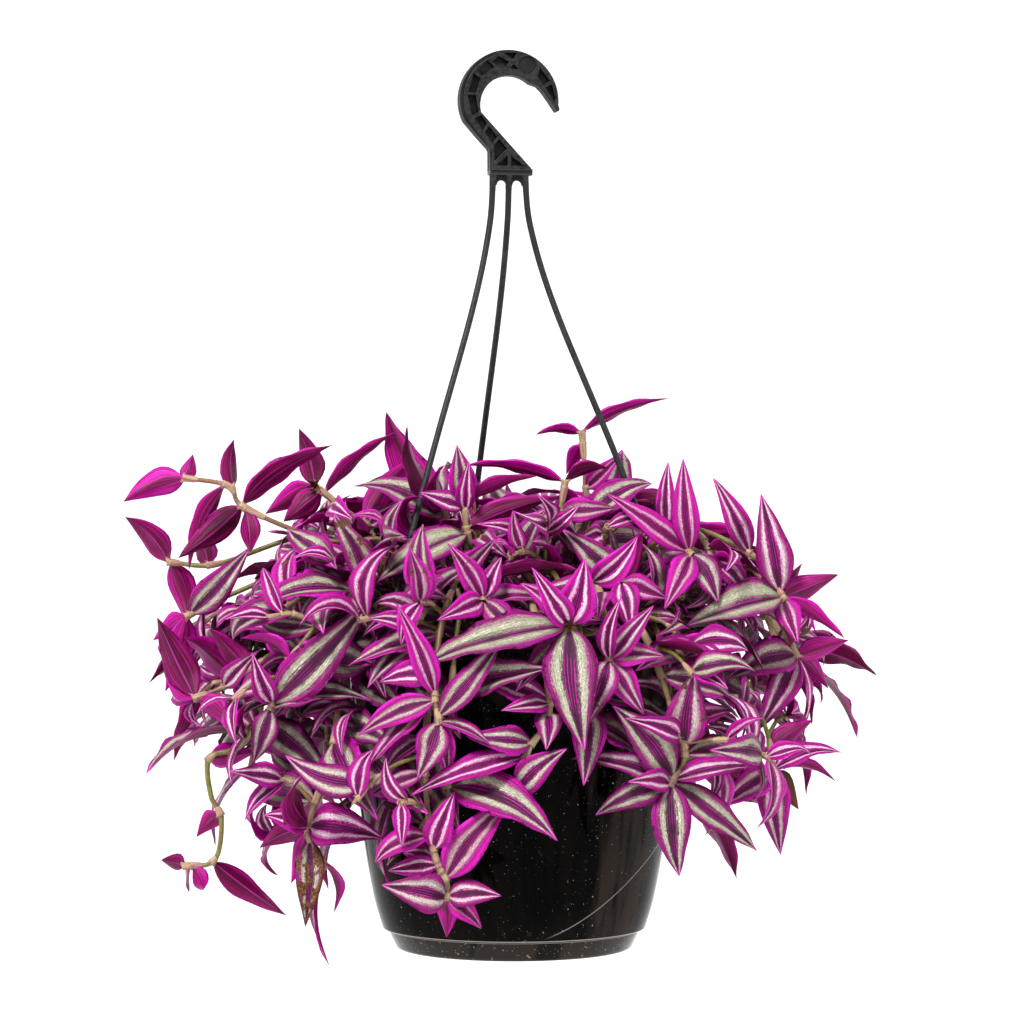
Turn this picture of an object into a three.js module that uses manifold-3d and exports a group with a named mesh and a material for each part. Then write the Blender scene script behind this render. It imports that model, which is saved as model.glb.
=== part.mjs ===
// A potted tradescantia that hangs: hook and arms, pot, drip saucer, soil and leafy stems.
// Millimetres, +Z up. The origin is the top of the hook's inner curve, where the hook rests on what
// it hangs from. The viewer stands towards -Y, with +X to the right.
import * as THREE from "three";
import { mergeVertices } from "three/addons/utils/BufferGeometryUtils.js";
import Module from "manifold-3d";

const wasm = await Module();
wasm.setup();

const GAP = 0.3; // clearance between pieces that touch
const SIDES = 24; // facets round the pot, the soil and the saucer
const AXIS_X = 2.5; // the pot's axis is this far right of the hook's

// Half sections as [radius, height], from the foot up the outside and down the inside.
const POT_OUTSIDE = [
  [55, -433], [58.5, -426], [65.8, -425.2], [70, -412], [75, -386], [80, -342],
  [84.5, -288.2], [87.2, -287.6], [87.2, -282.4], [86.6, -282],
];
const POT_INSIDE = [
  [83, -282], [77.9, -342], [73, -386], [68, -411], [62, -423], [56, -426.6], [53, -430.8],
];
const SAUCER_SECTION = [
  [58.5, -435.3], [62, -427.4], [60.6, -427], [57.3, -433.3],
];
const DRAIN = { count: 4, radius: 4, ring: 30 };
const SOIL_TOP = -292;
const SOIL_DOME = 2; // the soil's middle is this much higher than its edge

// The hook is a flat plate: two arcs joined by a blunt tip and a neck, with pockets on both faces.
const HOOK = {
  thick: 9,
  web: 2.6,
  turn: THREE.MathUtils.degToRad(12),
  inner: { x: 0, z: -15.25, radius: 15.25 },
  outer: { x: -0.5, z: -12.5, radius: 25.2 },
  flange: 2,
  base: { from: -10.5, to: 11.5, top: -46.5, bottom: -49.7, deep: 7 },
};
const HOOK_CELLS = 7; // pockets round the curve
const NECK_POCKETS = [
  [[-15.2, -28.6], [-13.2, -23.6], [-4.8, -33.2], [-8.3, -36.3]],
  [[-8.5, -46], [-8.5, -38], [-1.5, -46]],
  [[0.5, -46], [6.6, -46], [0.5, -39]],
];

// Each arm leaves the base bar, spreads out and ends in a clip round the pot's rim.
const ARM = { radius: 1.6, top: -49, spacing: 8, end: -278.6, reach: 86.5 };
const ARM_TURNS = [-46, 199, 77]; // degrees round the pot from the front, towards +X
const ARM_SPREAD = [[0, 0], [0.12, 0.04], [0.3, 0.2], [0.62, 0.58], [1, 1]]; // [drop, spread]
const CLIP_WIDTH = 9;
const CLIP_SECTION = [
  [89.6, -279.4], [89.6, -290.4], [85.4, -290.4], [85.4, -288.6], [87.6, -288.6], [87.6, -281.6],
  [82.2, -281.6], [82.2, -286], [80.4, -286], [80.4, -279.4],
];

// Where the viewer's eye is. Points of the plant that the viewer sees are given as
// [across, up, depth]: across and up are measured in the plane of the pot's axis.
const EYE = { x: 1.5, z: -218, distance: 1700 };

const STEM = { radius: 1.9, sides: 4, depth: 22, hole: 0.8, holeSides: 4, stepLength: 55 };
const BLADE = {
  keel: 1,
  rootKeel: 1.1,
  rootWidth: 1.1,
  arch: 0.1,
  fold: 0.14,
  spare: 0.45, // clearance kept from other pieces
  root: 0.12, // share of its length within which a blade may meet its own stem and blades
};
const LARGE_ROWS = [0, 0.17, 0.42, 0.74];
const SMALL_ROWS = [0, 0.3, 0.68];
const SMALL_ROWS_UNDER = 44; // a seen blade shorter than this has the smaller number of rows
const TRIES = 28; // poses tried for a blade before it is left out

// Which way the upper side of a blade looks.
const FRONT = [0, -1, 0.25];
const FRONT_UP = [0, -0.75, 0.65];
const UP = [0, -0.4, 0.9];
const UP_BACK = [0, 0.55, 0.8];
const BACK = [0, 1, 0.3];
const LEFT = [-1, -0.25, 0.2];
const LEFT_BACK = [-0.7, 0.7, 0.2];
const RIGHT = [1, -0.25, 0.2];
const RIGHT_BACK = [0.8, 0.6, 0.1];

// Leafy stems that the viewer sees. root is the distance from the pot's axis where the stem leaves
// the soil. A blade is [base across, base up, tip across, tip up, tip depth past base, width, facing].
const SEEN_STEMS = {
  front_centre: {
    root: 44,
    route: [[20, -246, -70], [27, -258, -98], [30, -275, -110]],
    blades: [
      [30, -277, 38, -338, -10, 27, FRONT], [27, -277, -48, -295, -4, 24, FRONT_UP],
      [31, -276, 38, -241, -8, 20, FRONT], [30, -275, 11, -244, -6, 15, FRONT],
      [26, -272, 5, -253, 2, 13, FRONT],
    ],
  },
  right_star: {
    root: 66,
    route: [[56, -264, -60], [70, -284, -84], [84, -325, -92], [88, -340, -92], [81, -354, -94]],
    blades: [
      [82, -355, 85.5, -401, 0, 20, FRONT], [84, -355, 125, -387, 4, 18, FRONT],
      [80, -350, 51.5, -314, -6, 22, FRONT], [80, -353, 30.5, -340, -4, 16, FRONT_UP],
      [80, -359, 43, -370, -6, 16, FRONT], [82, -352, 127, -345, 0, 14, FRONT_UP],
      [80, -356, 59, -353, -14, 12, FRONT], [88, -336, 92.5, -296, 2, 22, FRONT],
    ],
  },
  front_low_left: {
    root: 66,
    route: [[-30, -266, -72], [-36, -284, -97], [-42, -340, -106], [-38, -386, -104],
      [-31, -403, -101], [-31, -411, -100]],
    blades: [
      [-31, -412, -65, -404, -6, 21, FRONT], [-31, -410, -3.5, -410, -6, 15, FRONT],
      [-32, -401, 3, -359, -6, 20, FRONT], [-37, -386, -27, -357, -8, 15, FRONT],
      [-31, -411, -13, -427, -4, 12, FRONT], [-37, -391, -54.5, -387, 4, 12, FRONT],
      [-36, -394, -62, -397, 6, 12, FRONT], [-31, -412, -31, -431, 4, 11, BACK],
    ],
  },
  left_star: {
    root: 66,
    route: [[-64, -262, -42], [-80, -284, -64], [-88, -335, -82], [-100, -375, -80],
      [-95, -388, -80], [-92, -396, -79]],
    blades: [
      [-100, -375, -62, -381, -16, 24, FRONT], [-100, -375, -107, -349, -6, 22, FRONT],
      [-100, -375, -123, -369, -6, 14, FRONT], [-99, -381, -102, -426, -4, 16, FRONT],
      [-100, -376, -125, -386, 4, 14, BACK], [-101, -377, -109, -404, 6, 11, BACK],
      [-92, -395, -90, -446, 0, 11, LEFT], [-93, -392, -86, -419, 4, 12, RIGHT_BACK],
    ],
  },
  front_mid: {
    root: 54,
    route: [[-24, -250, -66], [-33, -270, -98], [-37, -305, -110], [-35, -323, -112]],
    blades: [
      [-35, -325, -46, -352, -8, 17, FRONT], [-37, -321, -1.5, -279, -8, 15, FRONT],
      [-34, -325, -9, -334, -4, 13, UP], [-38, -309, -56, -262, -2, 14, FRONT],
      [-38, -312, -76, -330, 6, 15, FRONT],
    ],
  },
  front_low: {
    root: 56,
    route: [[8, -254, -64], [14, -274, -96], [20, -317, -102], [9, -338, -104], [4, -358, -104]],
    blades: [
      [4, -357, 29, -336, -8, 17, FRONT], [8, -340, -52, -360, 0, 15, FRONT_UP],
      [19, -314, -2, -315, -4, 12, FRONT], [4, -358, -17, -362, -6, 12, FRONT],
      [4, -358, 12, -371, 2, 12, FRONT], [20, -318, 18, -338, -12, 16, FRONT],
    ],
  },
  centre_left: {
    root: 58,
    route: [[-70, -252, -52], [-96, -275, -72], [-112, -296, -80], [-119, -316, -80]],
    blades: [
      [-119, -314, -68, -261, -16, 23, FRONT], [-117, -318, -68, -312, -10, 19, FRONT_UP],
      [-118, -314, -130, -288, 2, 14, FRONT], [-119, -317, -128, -344, 4, 14, FRONT],
      [-108, -292, -134, -280, 4, 15, UP_BACK],
    ],
  },
  left_hang: {
    root: 70,
    route: [[-72, -264, -34], [-96, -290, -46], [-122, -321, -46], [-136, -336, -40],
      [-150, -341, -38], [-149, -360, -38], [-144, -370, -38], [-145, -387, -38],
      [-150, -394, -38], [-162, -395, -38]],
    blades: [
      [-124, -321, -86, -356, -26, 20, FRONT], [-149, -342, -124, -335, -6, 15, BACK],
      [-148, -393, -111, -420, 0, 13, LEFT_BACK], [-145, -369, -155, -381, 0, 11, BACK],
      [-162, -395, -174, -392, -2, 10, BACK], [-160, -395, -160, -409, 4, 10, LEFT],
      [-158, -395, -151, -407, -6, 10, BACK],
    ],
  },
  right_edge: {
    root: 52,
    route: [[88, -226, -34], [116, -236, -42], [130, -248, -46], [137, -261, -48]],
    blades: [
      [134, -262, 88, -275, -10, 26, FRONT_UP], [137, -258, 126, -208, -4, 19, FRONT],
      [118, -240, 102, -200, -4, 14, FRONT], [138, -260, 165, -249, 4, 14, BACK],
      [138, -261, 168, -281, 0, 12, UP_BACK], [135, -263, 145, -284, -8, 14, FRONT],
      [138, -260, 146, -243, 8, 10, BACK],
    ],
  },
  right_high: {
    root: 36,
    route: [[60, -222, -36], [78, -228, -46], [91, -239, -54]],
    blades: [
      [88, -239, 48, -208, -2, 14, FRONT], [91, -237, 87, -190, 2, 14, FRONT],
      [76, -227, 80, -192, 6, 11, FRONT], [91, -240, 105, -264, -8, 18, FRONT],
      [90, -240, 78, -268, -10, 16, FRONT],
    ],
  },
  centre_right: {
    root: 56,
    route: [[42, -250, -62], [48, -270, -90], [50, -292, -98]],
    blades: [
      [50, -292, 73, -264, -4, 13, FRONT], [50, -292, 54, -262, 4, 12, FRONT],
      [50, -290, 78, -290, -4, 14, FRONT], [50, -294, 68, -320, 0, 15, FRONT],
    ],
  },
  right_mid: {
    root: 60,
    route: [[104, -248, -12], [130, -266, -20], [144, -290, -22]],
    blades: [
      [141, -291, 108, -302, -12, 22, FRONT], [143, -292, 124, -328, -8, 18, FRONT],
      [144, -290, 170, -282, 2, 13, BACK], [143, -292, 143, -333, 6, 14, RIGHT],
      [142, -284, 126, -270, 2, 14, UP], [144, -290, 160, -306, 2, 12, BACK],
    ],
  },
  right_low: {
    root: 70,
    route: [[90, -262, -18], [112, -292, -32], [128, -325, -38], [132, -347, -40]],
    blades: [
      [132, -348, 167, -337, 0, 15, FRONT_UP], [130, -350, 136, -390, -4, 17, FRONT],
      [131, -350, 104, -366, -8, 17, FRONT], [132, -348, 145, -367, 4, 12, BACK],
      [132, -348, 164, -352, 8, 11, UP_BACK], [130, -338, 152, -322, 2, 13, BACK],
    ],
  },
  left_low: {
    root: 62,
    route: [[-84, -262, -22], [-118, -288, -34], [-140, -304, -40], [-157, -311, -42]],
    blades: [
      [-157, -311, -176, -270, -4, 18, BACK], [-156, -311, -138, -327, -4, 15, BACK],
      [-143, -305, -125, -287, -12, 12, FRONT], [-130, -296, -150, -276, -2, 14, BACK],
      [-157, -311, -172, -296, 8, 14, LEFT_BACK],
    ],
  },
  left_back: {
    root: 60,
    route: [[-98, -244, -2], [-136, -258, -12], [-161, -270, -16]],
    blades: [
      [-160, -268, -129, -235, -14, 17, FRONT], [-161, -270, -172, -308, -2, 15, BACK],
      [-152, -266, -146, -296, -8, 14, LEFT], [-161, -270, -178, -282, 6, 13, BACK],
    ],
  },
  left_mid: {
    root: 46,
    route: [[-100, -230, 6], [-146, -244, 2], [-170, -243, 0]],
    blades: [
      [-170, -243, -192.5, -220, -4, 14, BACK], [-169, -244, -161, -275, -4, 15, BACK],
      [-150, -245, -158, -222, 2, 13, BACK],
    ],
  },
  left_high: {
    root: 48,
    route: [[-62, -232, -26], [-92, -232, -28], [-132, -216, -28], [-140, -205, -28],
      [-162, -201, -28]],
    blades: [
      [-163, -201, -193, -213, -2, 16, BACK], [-133, -214, -88, -184, 6, 17, UP_BACK],
      [-134, -216, -166, -241, -6, 16, BACK], [-142, -204, -161, -247, -2, 13, LEFT_BACK],
      [-138, -206, -138, -181, 2, 12, LEFT_BACK], [-132, -217, -129, -238, -4, 12, BACK],
      [-162, -201, -158, -189, 4, 9, BACK],
    ],
  },
  left_upper: {
    root: 30,
    route: [[-44, -224, 8], [-70, -224, 8], [-97, -205, 8]],
    blades: [
      [-97, -205, -105, -176, 0, 14, BACK], [-91, -207, -56, -177, 6, 12, UP_BACK],
      [-72, -222, -46, -190, 2, 14, BACK], [-94, -208, -113, -223, -8, 14, BACK],
      [-98, -205, -122, -219, 6, 14, BACK], [-70, -224, -54, -212, -10, 11, FRONT],
    ],
  },
  top_left: {
    root: 26,
    route: [[-16, -244, -42], [-21, -228, -48], [-22, -213, -48]],
    blades: [
      [-22, -229, -67, -253, -10, 23, FRONT_UP], [-22, -213, -26, -184, -2, 15, FRONT],
      [-22, -226, 24, -210, -2, 14, BACK], [-22, -216, -45, -208, -2, 12, FRONT],
      [-21, -218, -19, -193, 4, 11, FRONT], [-22, -214, 14, -200, 4, 12, UP_BACK],
    ],
  },
  top_mid: {
    root: 14,
    route: [[20, -240, -22], [25, -222, -26], [28, -203, -26]],
    blades: [
      [28, -203, -24, -193, 6, 13, UP_BACK], [28, -203, 51, -196, 0, 12, UP_BACK],
      [28, -206, 38, -224, -4, 11, BACK], [26, -218, 54, -216, -4, 14, FRONT],
    ],
  },
  top_tall: {
    root: 22,
    route: [[36, -240, 2], [39, -223, 4], [38, -200, 4], [36.5, -178, 4]],
    blades: [
      [36.5, -178, 80, -161, 0, 11, UP_BACK], [36.5, -179, 13, -179, 0, 9, UP_BACK],
      [37, -184, 29, -200, -2, 10, BACK], [38, -206, 58, -190, 4, 12, FRONT],
    ],
  },
  top_centre: {
    root: 30,
    route: [[-6, -242, -58], [-10, -248, -76], [-13, -262, -88]],
    blades: [
      [-13, -262, -31, -233, -2, 14, FRONT], [-12, -261, -4, -240, -4, 12, FRONT],
      [-8, -244, 39, -247, 4, 14, UP_BACK], [-13, -262, -36, -272, -4, 15, FRONT],
      [-12, -263, 8, -284, -4, 14, FRONT],
    ],
  },
  top_right: {
    root: 30,
    route: [[40, -236, -40], [50, -240, -56], [56, -253, -66]],
    blades: [
      [55, -252, 26, -226, -4, 17, FRONT], [56, -252, 67, -227, 2, 14, BACK],
      [56, -253, 62, -280, -6, 16, FRONT], [56, -253, 80, -262, -4, 14, FRONT],
    ],
  },
};

// Leafy stems set by a rule. Each tier spreads its stems evenly between two directions, in degrees
// round the pot from the front, and gives how far out and how high they end.
const TIERS = [
  { name: "front_left", count: 4, from: -78, to: -8, root: 60, crest: [86, -266],
    reach: [98, 106], height: [-384, -318], blades: 8, lean: 0.05 },
  { name: "front_right", count: 3, from: 8, to: 76, root: 60, crest: [86, -266],
    reach: [98, 106], height: [-330, -300], blades: 7, lean: 0.05 },
  { name: "side_left", count: 3, from: -112, to: -66, root: 56, crest: [96, -250],
    reach: [124, 146], height: [-352, -270], blades: 7, lean: 0.3 },
  { name: "side_right", count: 2, from: 70, to: 104, root: 56, crest: [96, -250],
    reach: [122, 140], height: [-340, -280], blades: 8, lean: 0.3 },
  { name: "low", count: 5, from: 114, to: 252, root: 66, crest: [92, -264],
    reach: [112, 130], height: [-394, -345], blades: 8, lean: 0.3 },
  { name: "mid", count: 5, from: 100, to: 262, root: 50, crest: [96, -240],
    reach: [142, 166], height: [-320, -262], blades: 8, lean: 0.35 },
  { name: "high", count: 4, from: 120, to: 250, root: 34, crest: [70, -228],
    reach: [104, 128], height: [-250, -222], blades: 7, lean: 0.35 },
  { name: "crown", count: 5, from: 20, to: 340, root: 18, crest: [24, -244],
    reach: [34, 62], height: [-232, -212], blades: 7, lean: 0.3 },
];
const RULE_BLADE = { length: [42, 66], widthShare: [0.4, 0.48] };

const LOOKS = {
  hanger: { color: 0x2b2b2c, roughness: 0.55, metalness: 0 },
  pot: { color: 0x101010, roughness: 0.12, metalness: 0 },
  saucer: { color: 0x3d3834, roughness: 0.15, metalness: 0 },
  soil: { color: 0x2a1c12, roughness: 0.95, metalness: 0 },
  plant: { color: 0xa01a86, roughness: 0.4, metalness: 0 },
};

// --- solids ---------------------------------------------------------------------------------

// A closed geometry as a solid whose faces look outwards.
function solidOf(geometry) {
  const bare = geometry.index ? geometry.clone() : geometry;
  bare.deleteAttribute("normal");
  bare.deleteAttribute("uv");
  const merged = mergeVertices(bare, 1e-4);
  const triVerts = new Uint32Array(merged.index.array);
  const vertProperties = new Float32Array(merged.attributes.position.array);
  const made = new wasm.Manifold(new wasm.Mesh({ numProp: 3, vertProperties, triVerts }));
  if (made.volume() >= 0) return made;
  for (let i = 0; i < triVerts.length; i += 3) {
    [triVerts[i + 1], triVerts[i + 2]] = [triVerts[i + 2], triVerts[i + 1]];
  }
  return new wasm.Manifold(new wasm.Mesh({ numProp: 3, vertProperties, triVerts }));
}

// A named mesh of a solid. Of a solid in several bodies only the largest is kept.
function meshOf(name, solid, look) {
  const bodies = solid.decompose().sort((a, b) => b.volume() - a.volume());
  const made = bodies[0].getMesh();
  const geometry = new THREE.BufferGeometry();
  geometry.setAttribute("position", new THREE.BufferAttribute(made.vertProperties, 3));
  geometry.setIndex(new THREE.BufferAttribute(made.triVerts, 1));
  geometry.computeVertexNormals();
  const mesh = new THREE.Mesh(geometry, new THREE.MeshStandardMaterial(look));
  mesh.name = name;
  return mesh;
}

// A half section turned about the pot's axis.
function turned(section) {
  const points = section.map(([radius, height]) => new THREE.Vector2(radius, height));
  const geometry = new THREE.LatheGeometry(points, SIDES);
  return solidOf(geometry.rotateX(Math.PI / 2).translate(AXIS_X, 0, 0));
}

// A flat outline in X and Z, thick in Y and centred on Y = 0.
function plate(shape, thick, y = 0) {
  const geometry = new THREE.ExtrudeGeometry(shape, {
    depth: thick,
    bevelEnabled: false,
    curveSegments: 9,
  });
  return solidOf(geometry.translate(0, 0, -thick / 2).rotateX(Math.PI / 2).translate(0, y, 0));
}

function outlineOf(points) {
  return new THREE.Shape(points.map(([x, y]) => new THREE.Vector2(x, y)));
}

// A rod of a regular section along a curve.
function rod(curve, radius, sides, steps) {
  const section = new THREE.Shape();
  for (let i = 0; i < sides; i += 1) {
    const turn = (2 * Math.PI * i) / sides;
    const corner = new THREE.Vector2(radius * Math.cos(turn), radius * Math.sin(turn));
    if (i === 0) section.moveTo(corner.x, corner.y);
    else section.lineTo(corner.x, corner.y);
  }
  return solidOf(new THREE.ExtrudeGeometry(section, { extrudePath: curve, steps }));
}

// A point at a distance from the pot's axis, a turn from the front towards +X and a height.
function round(radius, turn, height) {
  return new THREE.Vector3(AXIS_X + radius * Math.sin(turn), -radius * Math.cos(turn), height);
}

// --- pot, saucer and soil -------------------------------------------------------------------

function potSolid() {
  const bottom = POT_OUTSIDE[0][1];
  const floor = POT_INSIDE.at(-1)[1];
  const shell = turned([[0, bottom], ...POT_OUTSIDE, ...POT_INSIDE, [0, floor]]);
  const drains = [];
  for (let i = 0; i < DRAIN.count; i += 1) {
    const hole = new THREE.CylinderGeometry(DRAIN.radius, DRAIN.radius, 10, 8);
    const at = round(DRAIN.ring, (2 * Math.PI * i) / DRAIN.count, (bottom + floor) / 2);
    drains.push(solidOf(hole.rotateX(Math.PI / 2).translate(at.x, at.y, at.z)));
  }
  return shell.subtract(wasm.Manifold.union(drains));
}

function saucerSolid() {
  const bottom = SAUCER_SECTION[0][1];
  const floor = SAUCER_SECTION.at(-1)[1];
  return turned([[0, bottom], ...SAUCER_SECTION, [0, floor]]);
}

// The soil follows the inside of the pot and has a plain hole for each stem.
function soilSolid(roots) {
  const sides = POT_INSIDE.filter(([, height]) => height < SOIL_TOP)
    .map(([radius, height]) => [radius - 1.3 * GAP, height + GAP])
    .reverse();
  const edge = [81.7, SOIL_TOP];
  const body = turned([[0, sides[0][1]], ...sides, edge, [0, SOIL_TOP + SOIL_DOME]]);
  const holes = roots.map((root) => {
    const size = STEM.radius + STEM.hole;
    const hole = new THREE.CylinderGeometry(size, size, 2 * (STEM.depth + 1), STEM.holeSides);
    return solidOf(hole.rotateX(Math.PI / 2).translate(root.x, root.y, SOIL_TOP));
  });
  return body.subtract(wasm.Manifold.union(holes));
}

// --- hanger ---------------------------------------------------------------------------------

function hookOutline() {
  const { inner, outer, base } = HOOK;
  const shape = new THREE.Shape();
  shape.moveTo(base.from, base.top - 1);
  shape.lineTo(base.from, -38);
  shape.lineTo(-16.5, -31);
  shape.absarc(outer.x, outer.z, outer.radius, Math.PI * 1.14, -0.14, true);
  shape.lineTo(25.4, -17.2);
  shape.lineTo(23.6, -17.6);
  shape.lineTo(19.6, -11.6);
  shape.lineTo(14, -5);
  shape.absarc(inner.x, inner.z, inner.radius, 0.9, Math.PI * 1.08, false);
  shape.lineTo(base.to - 0.5, base.top - 0.5);
  shape.lineTo(base.to - 0.5, base.top - 1);
  return shape;
}

// The pockets between the ribs, as outlines in the plane of the plate.
function hookPockets() {
  const { inner, outer, flange } = HOOK;
  const first = THREE.MathUtils.degToRad(34);
  const last = THREE.MathUtils.degToRad(202);
  const span = (last - first) / HOOK_CELLS;
  const rib = THREE.MathUtils.degToRad(3.2);
  const corner = (turn, circle, radius) => [
    circle.x + radius * Math.cos(turn),
    circle.z + radius * Math.sin(turn),
  ];
  const cells = [];
  for (let i = 0; i < HOOK_CELLS; i += 1) {
    const from = first + i * span + rib;
    const to = first + (i + 1) * span - rib;
    cells.push([
      corner(from, inner, inner.radius + flange),
      corner(from, outer, outer.radius - flange),
      corner(to, outer, outer.radius - flange),
      corner(to, inner, inner.radius + flange),
    ]);
  }
  return [...cells, ...NECK_POCKETS];
}

function hookSolid() {
  const { thick, web, base } = HOOK;
  const deep = (thick - web) / 2;
  let solid = plate(hookOutline(), thick);
  for (const pocket of hookPockets()) {
    for (const side of [-1, 1]) {
      const y = side * (web / 2 + deep);
      solid = solid.subtract(plate(outlineOf(pocket), 2 * deep, y));
    }
  }
  const bar = new THREE.BoxGeometry(base.to - base.from, base.deep, base.top - base.bottom);
  const middle = [(base.from + base.to) / 2, 0, (base.top + base.bottom) / 2];
  const gusset = new THREE.BoxGeometry(2 * ARM.spacing + 2, 2.4, 4);
  return solid
    .add(solidOf(bar.translate(...middle)))
    .add(solidOf(gusset.translate(0, 0, base.bottom - 1)))
    .rotate([0, 0, THREE.MathUtils.radToDeg(HOOK.turn)]);
}

function armCurve(index) {
  const turn = THREE.MathUtils.degToRad(ARM_TURNS[index]);
  const across = (index - 1) * ARM.spacing;
  const from = new THREE.Vector3(across, 0, ARM.top).applyAxisAngle(
    new THREE.Vector3(0, 0, 1),
    HOOK.turn,
  );
  const to = round(ARM.reach, turn, ARM.end);
  const points = ARM_SPREAD.map(([drop, spread]) => {
    const point = from.clone().lerp(to, spread);
    point.z = THREE.MathUtils.lerp(from.z, to.z, drop);
    return point;
  });
  return new THREE.CatmullRomCurve3(points, false, "catmullrom", 0.5);
}

// A clip holds the rim from both sides and catches under its lip.
function clipSolid(index) {
  return plate(outlineOf(CLIP_SECTION), CLIP_WIDTH)
    .rotate([0, 0, ARM_TURNS[index] - 90])
    .translate([AXIS_X, 0, 0]);
}

function hangerSolid() {
  const pieces = [hookSolid()];
  ARM_TURNS.forEach((turn, index) => {
    pieces.push(rod(armCurve(index), ARM.radius, 6, 9), clipSolid(index));
  });
  return wasm.Manifold.union(pieces);
}

// --- plant ----------------------------------------------------------------------------------

// A repeatable number from 0 to 1 for three whole numbers.
function chance(a, b, c) {
  let h = Math.imul(a + 1, 374761393) ^ Math.imul(b + 1, 668265263);
  h ^= Math.imul(c + 1, 2246822519);
  h = Math.imul(h ^ (h >>> 15), 2246822507);
  h = Math.imul(h ^ (h >>> 13), 3266489909);
  return ((h ^ (h >>> 16)) >>> 0) / 4294967296;
}

function between([low, high], share) {
  return low + (high - low) * share;
}

// The real place of a point that the viewer sees at (across, up).
function seen(across, up, depth) {
  const nearness = (EYE.distance + depth) / EYE.distance;
  return new THREE.Vector3(
    EYE.x + (across - EYE.x) * nearness,
    depth,
    EYE.z + (up - EYE.z) * nearness,
  );
}

// A stem's route: straight up out of the soil, then over to the points given.
function stemCurve(root, points) {
  const above = (height) => new THREE.Vector3(root.x, root.y, SOIL_TOP + height);
  const [first] = points;
  const towards = (share, climb) => {
    const point = above(0).lerp(first, share);
    point.z = THREE.MathUtils.lerp(SOIL_TOP, first.z, climb);
    return point;
  };
  const start = [above(-STEM.depth), above(-STEM.depth / 2), above(3)];
  const rise = [towards(0.07, 0.4), towards(0.45, 0.8)];
  return new THREE.CatmullRomCurve3([...start, ...rise, ...points], false, "catmullrom", 0.5);
}

function stemSolid(curve, radius = STEM.radius) {
  const steps = Math.round(curve.getLength() / STEM.stepLength) + 3;
  return rod(curve, radius, STEM.sides, steps);
}

// Half the blade's width at a share u of its length, as a share of its greatest half width:
// rounded at the base, widest at about a third, and drawn out to a point.
function outlineAt(u) {
  const widest = 0.36;
  if (u < widest) return 1 - (1 - u / widest) ** 2.2;
  const v = (u - widest) / (1 - widest);
  return (1 - v ** 1.9) * (1 - 0.2 * v);
}

// The blade's left edge, right edge and keel at a share u of its length.
function bladeRow(blade, u, spare) {
  const { base, tip, up, width, arch, fold, twist } = blade;
  const length = base.distanceTo(tip);
  const straight = tip.clone().sub(base).normalize();
  const lift = up.clone().addScaledVector(straight, -up.dot(straight)).normalize();
  const crown = base.clone().lerp(tip, 0.5).addScaledVector(lift, 2 * arch * length);
  const middle = base.clone().multiplyScalar((1 - u) ** 2);
  middle.addScaledVector(crown, 2 * u * (1 - u)).addScaledVector(tip, u * u);
  const along = crown.clone().sub(base).multiplyScalar(1 - u);
  along.addScaledVector(tip.clone().sub(crown), u).normalize();
  const side = new THREE.Vector3().crossVectors(along, lift).normalize();
  const normal = new THREE.Vector3().crossVectors(side, along);
  const turn = twist * u;
  const across = side.clone().multiplyScalar(Math.cos(turn)).addScaledVector(normal, Math.sin(turn));
  const face = normal.clone().multiplyScalar(Math.cos(turn)).addScaledVector(side, -Math.sin(turn));
  const half = Math.max(BLADE.rootWidth, (width / 2) * outlineAt(u)) + spare;
  const deep = (u === 0 ? BLADE.rootKeel : BLADE.keel) + spare;
  const edge = (sign) =>
    middle.clone()
      .addScaledVector(across, sign * half * Math.cos(fold))
      .addScaledVector(face, half * Math.sin(fold) + spare);
  return [edge(-1), edge(1), middle.clone().addScaledVector(face, -deep)];
}

// A blade as a closed solid with a flat upper side and a keel. It starts at the share given by from.
function bladeSolid(blade, spare = 0, from = 0) {
  const shares = [from, ...blade.rows.filter((u) => u > from)];
  const rows = shares.map((u) => bladeRow(blade, u, spare));
  const end = blade.tip.clone().addScaledVector(
    blade.tip.clone().sub(blade.base).normalize(),
    spare,
  );
  const points = [...rows.flat(), end];
  const last = points.length - 1;
  const faces = [[0, 1, 2]];
  for (let i = 0; i < rows.length - 1; i += 1) {
    for (let j = 0; j < 3; j += 1) {
      const [a, b] = [3 * i + j, 3 * i + ((j + 1) % 3)];
      const [c, d] = [a + 3, b + 3];
      faces.push([a, d, b], [a, c, d]);
    }
  }
  for (let j = 0; j < 3; j += 1) faces.push([last - 3 + j, last, last - 3 + ((j + 1) % 3)]);
  const geometry = new THREE.BufferGeometry();
  const numbers = points.flatMap((point) => [point.x, point.y, point.z]);
  geometry.setAttribute("position", new THREE.Float32BufferAttribute(numbers, 3));
  geometry.setIndex(faces.flat());
  return solidOf(geometry);
}

// The point of a curve that is nearest to a point, by trying evenly spaced ones.
function nearestOn(curve, point) {
  let best = null;
  let shortest = Infinity;
  for (let i = 120; i <= 400; i += 1) {
    const candidate = curve.getPoint(i / 400);
    const distance = candidate.distanceTo(point);
    if (distance < shortest) {
      shortest = distance;
      best = candidate;
    }
  }
  return best;
}

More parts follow.
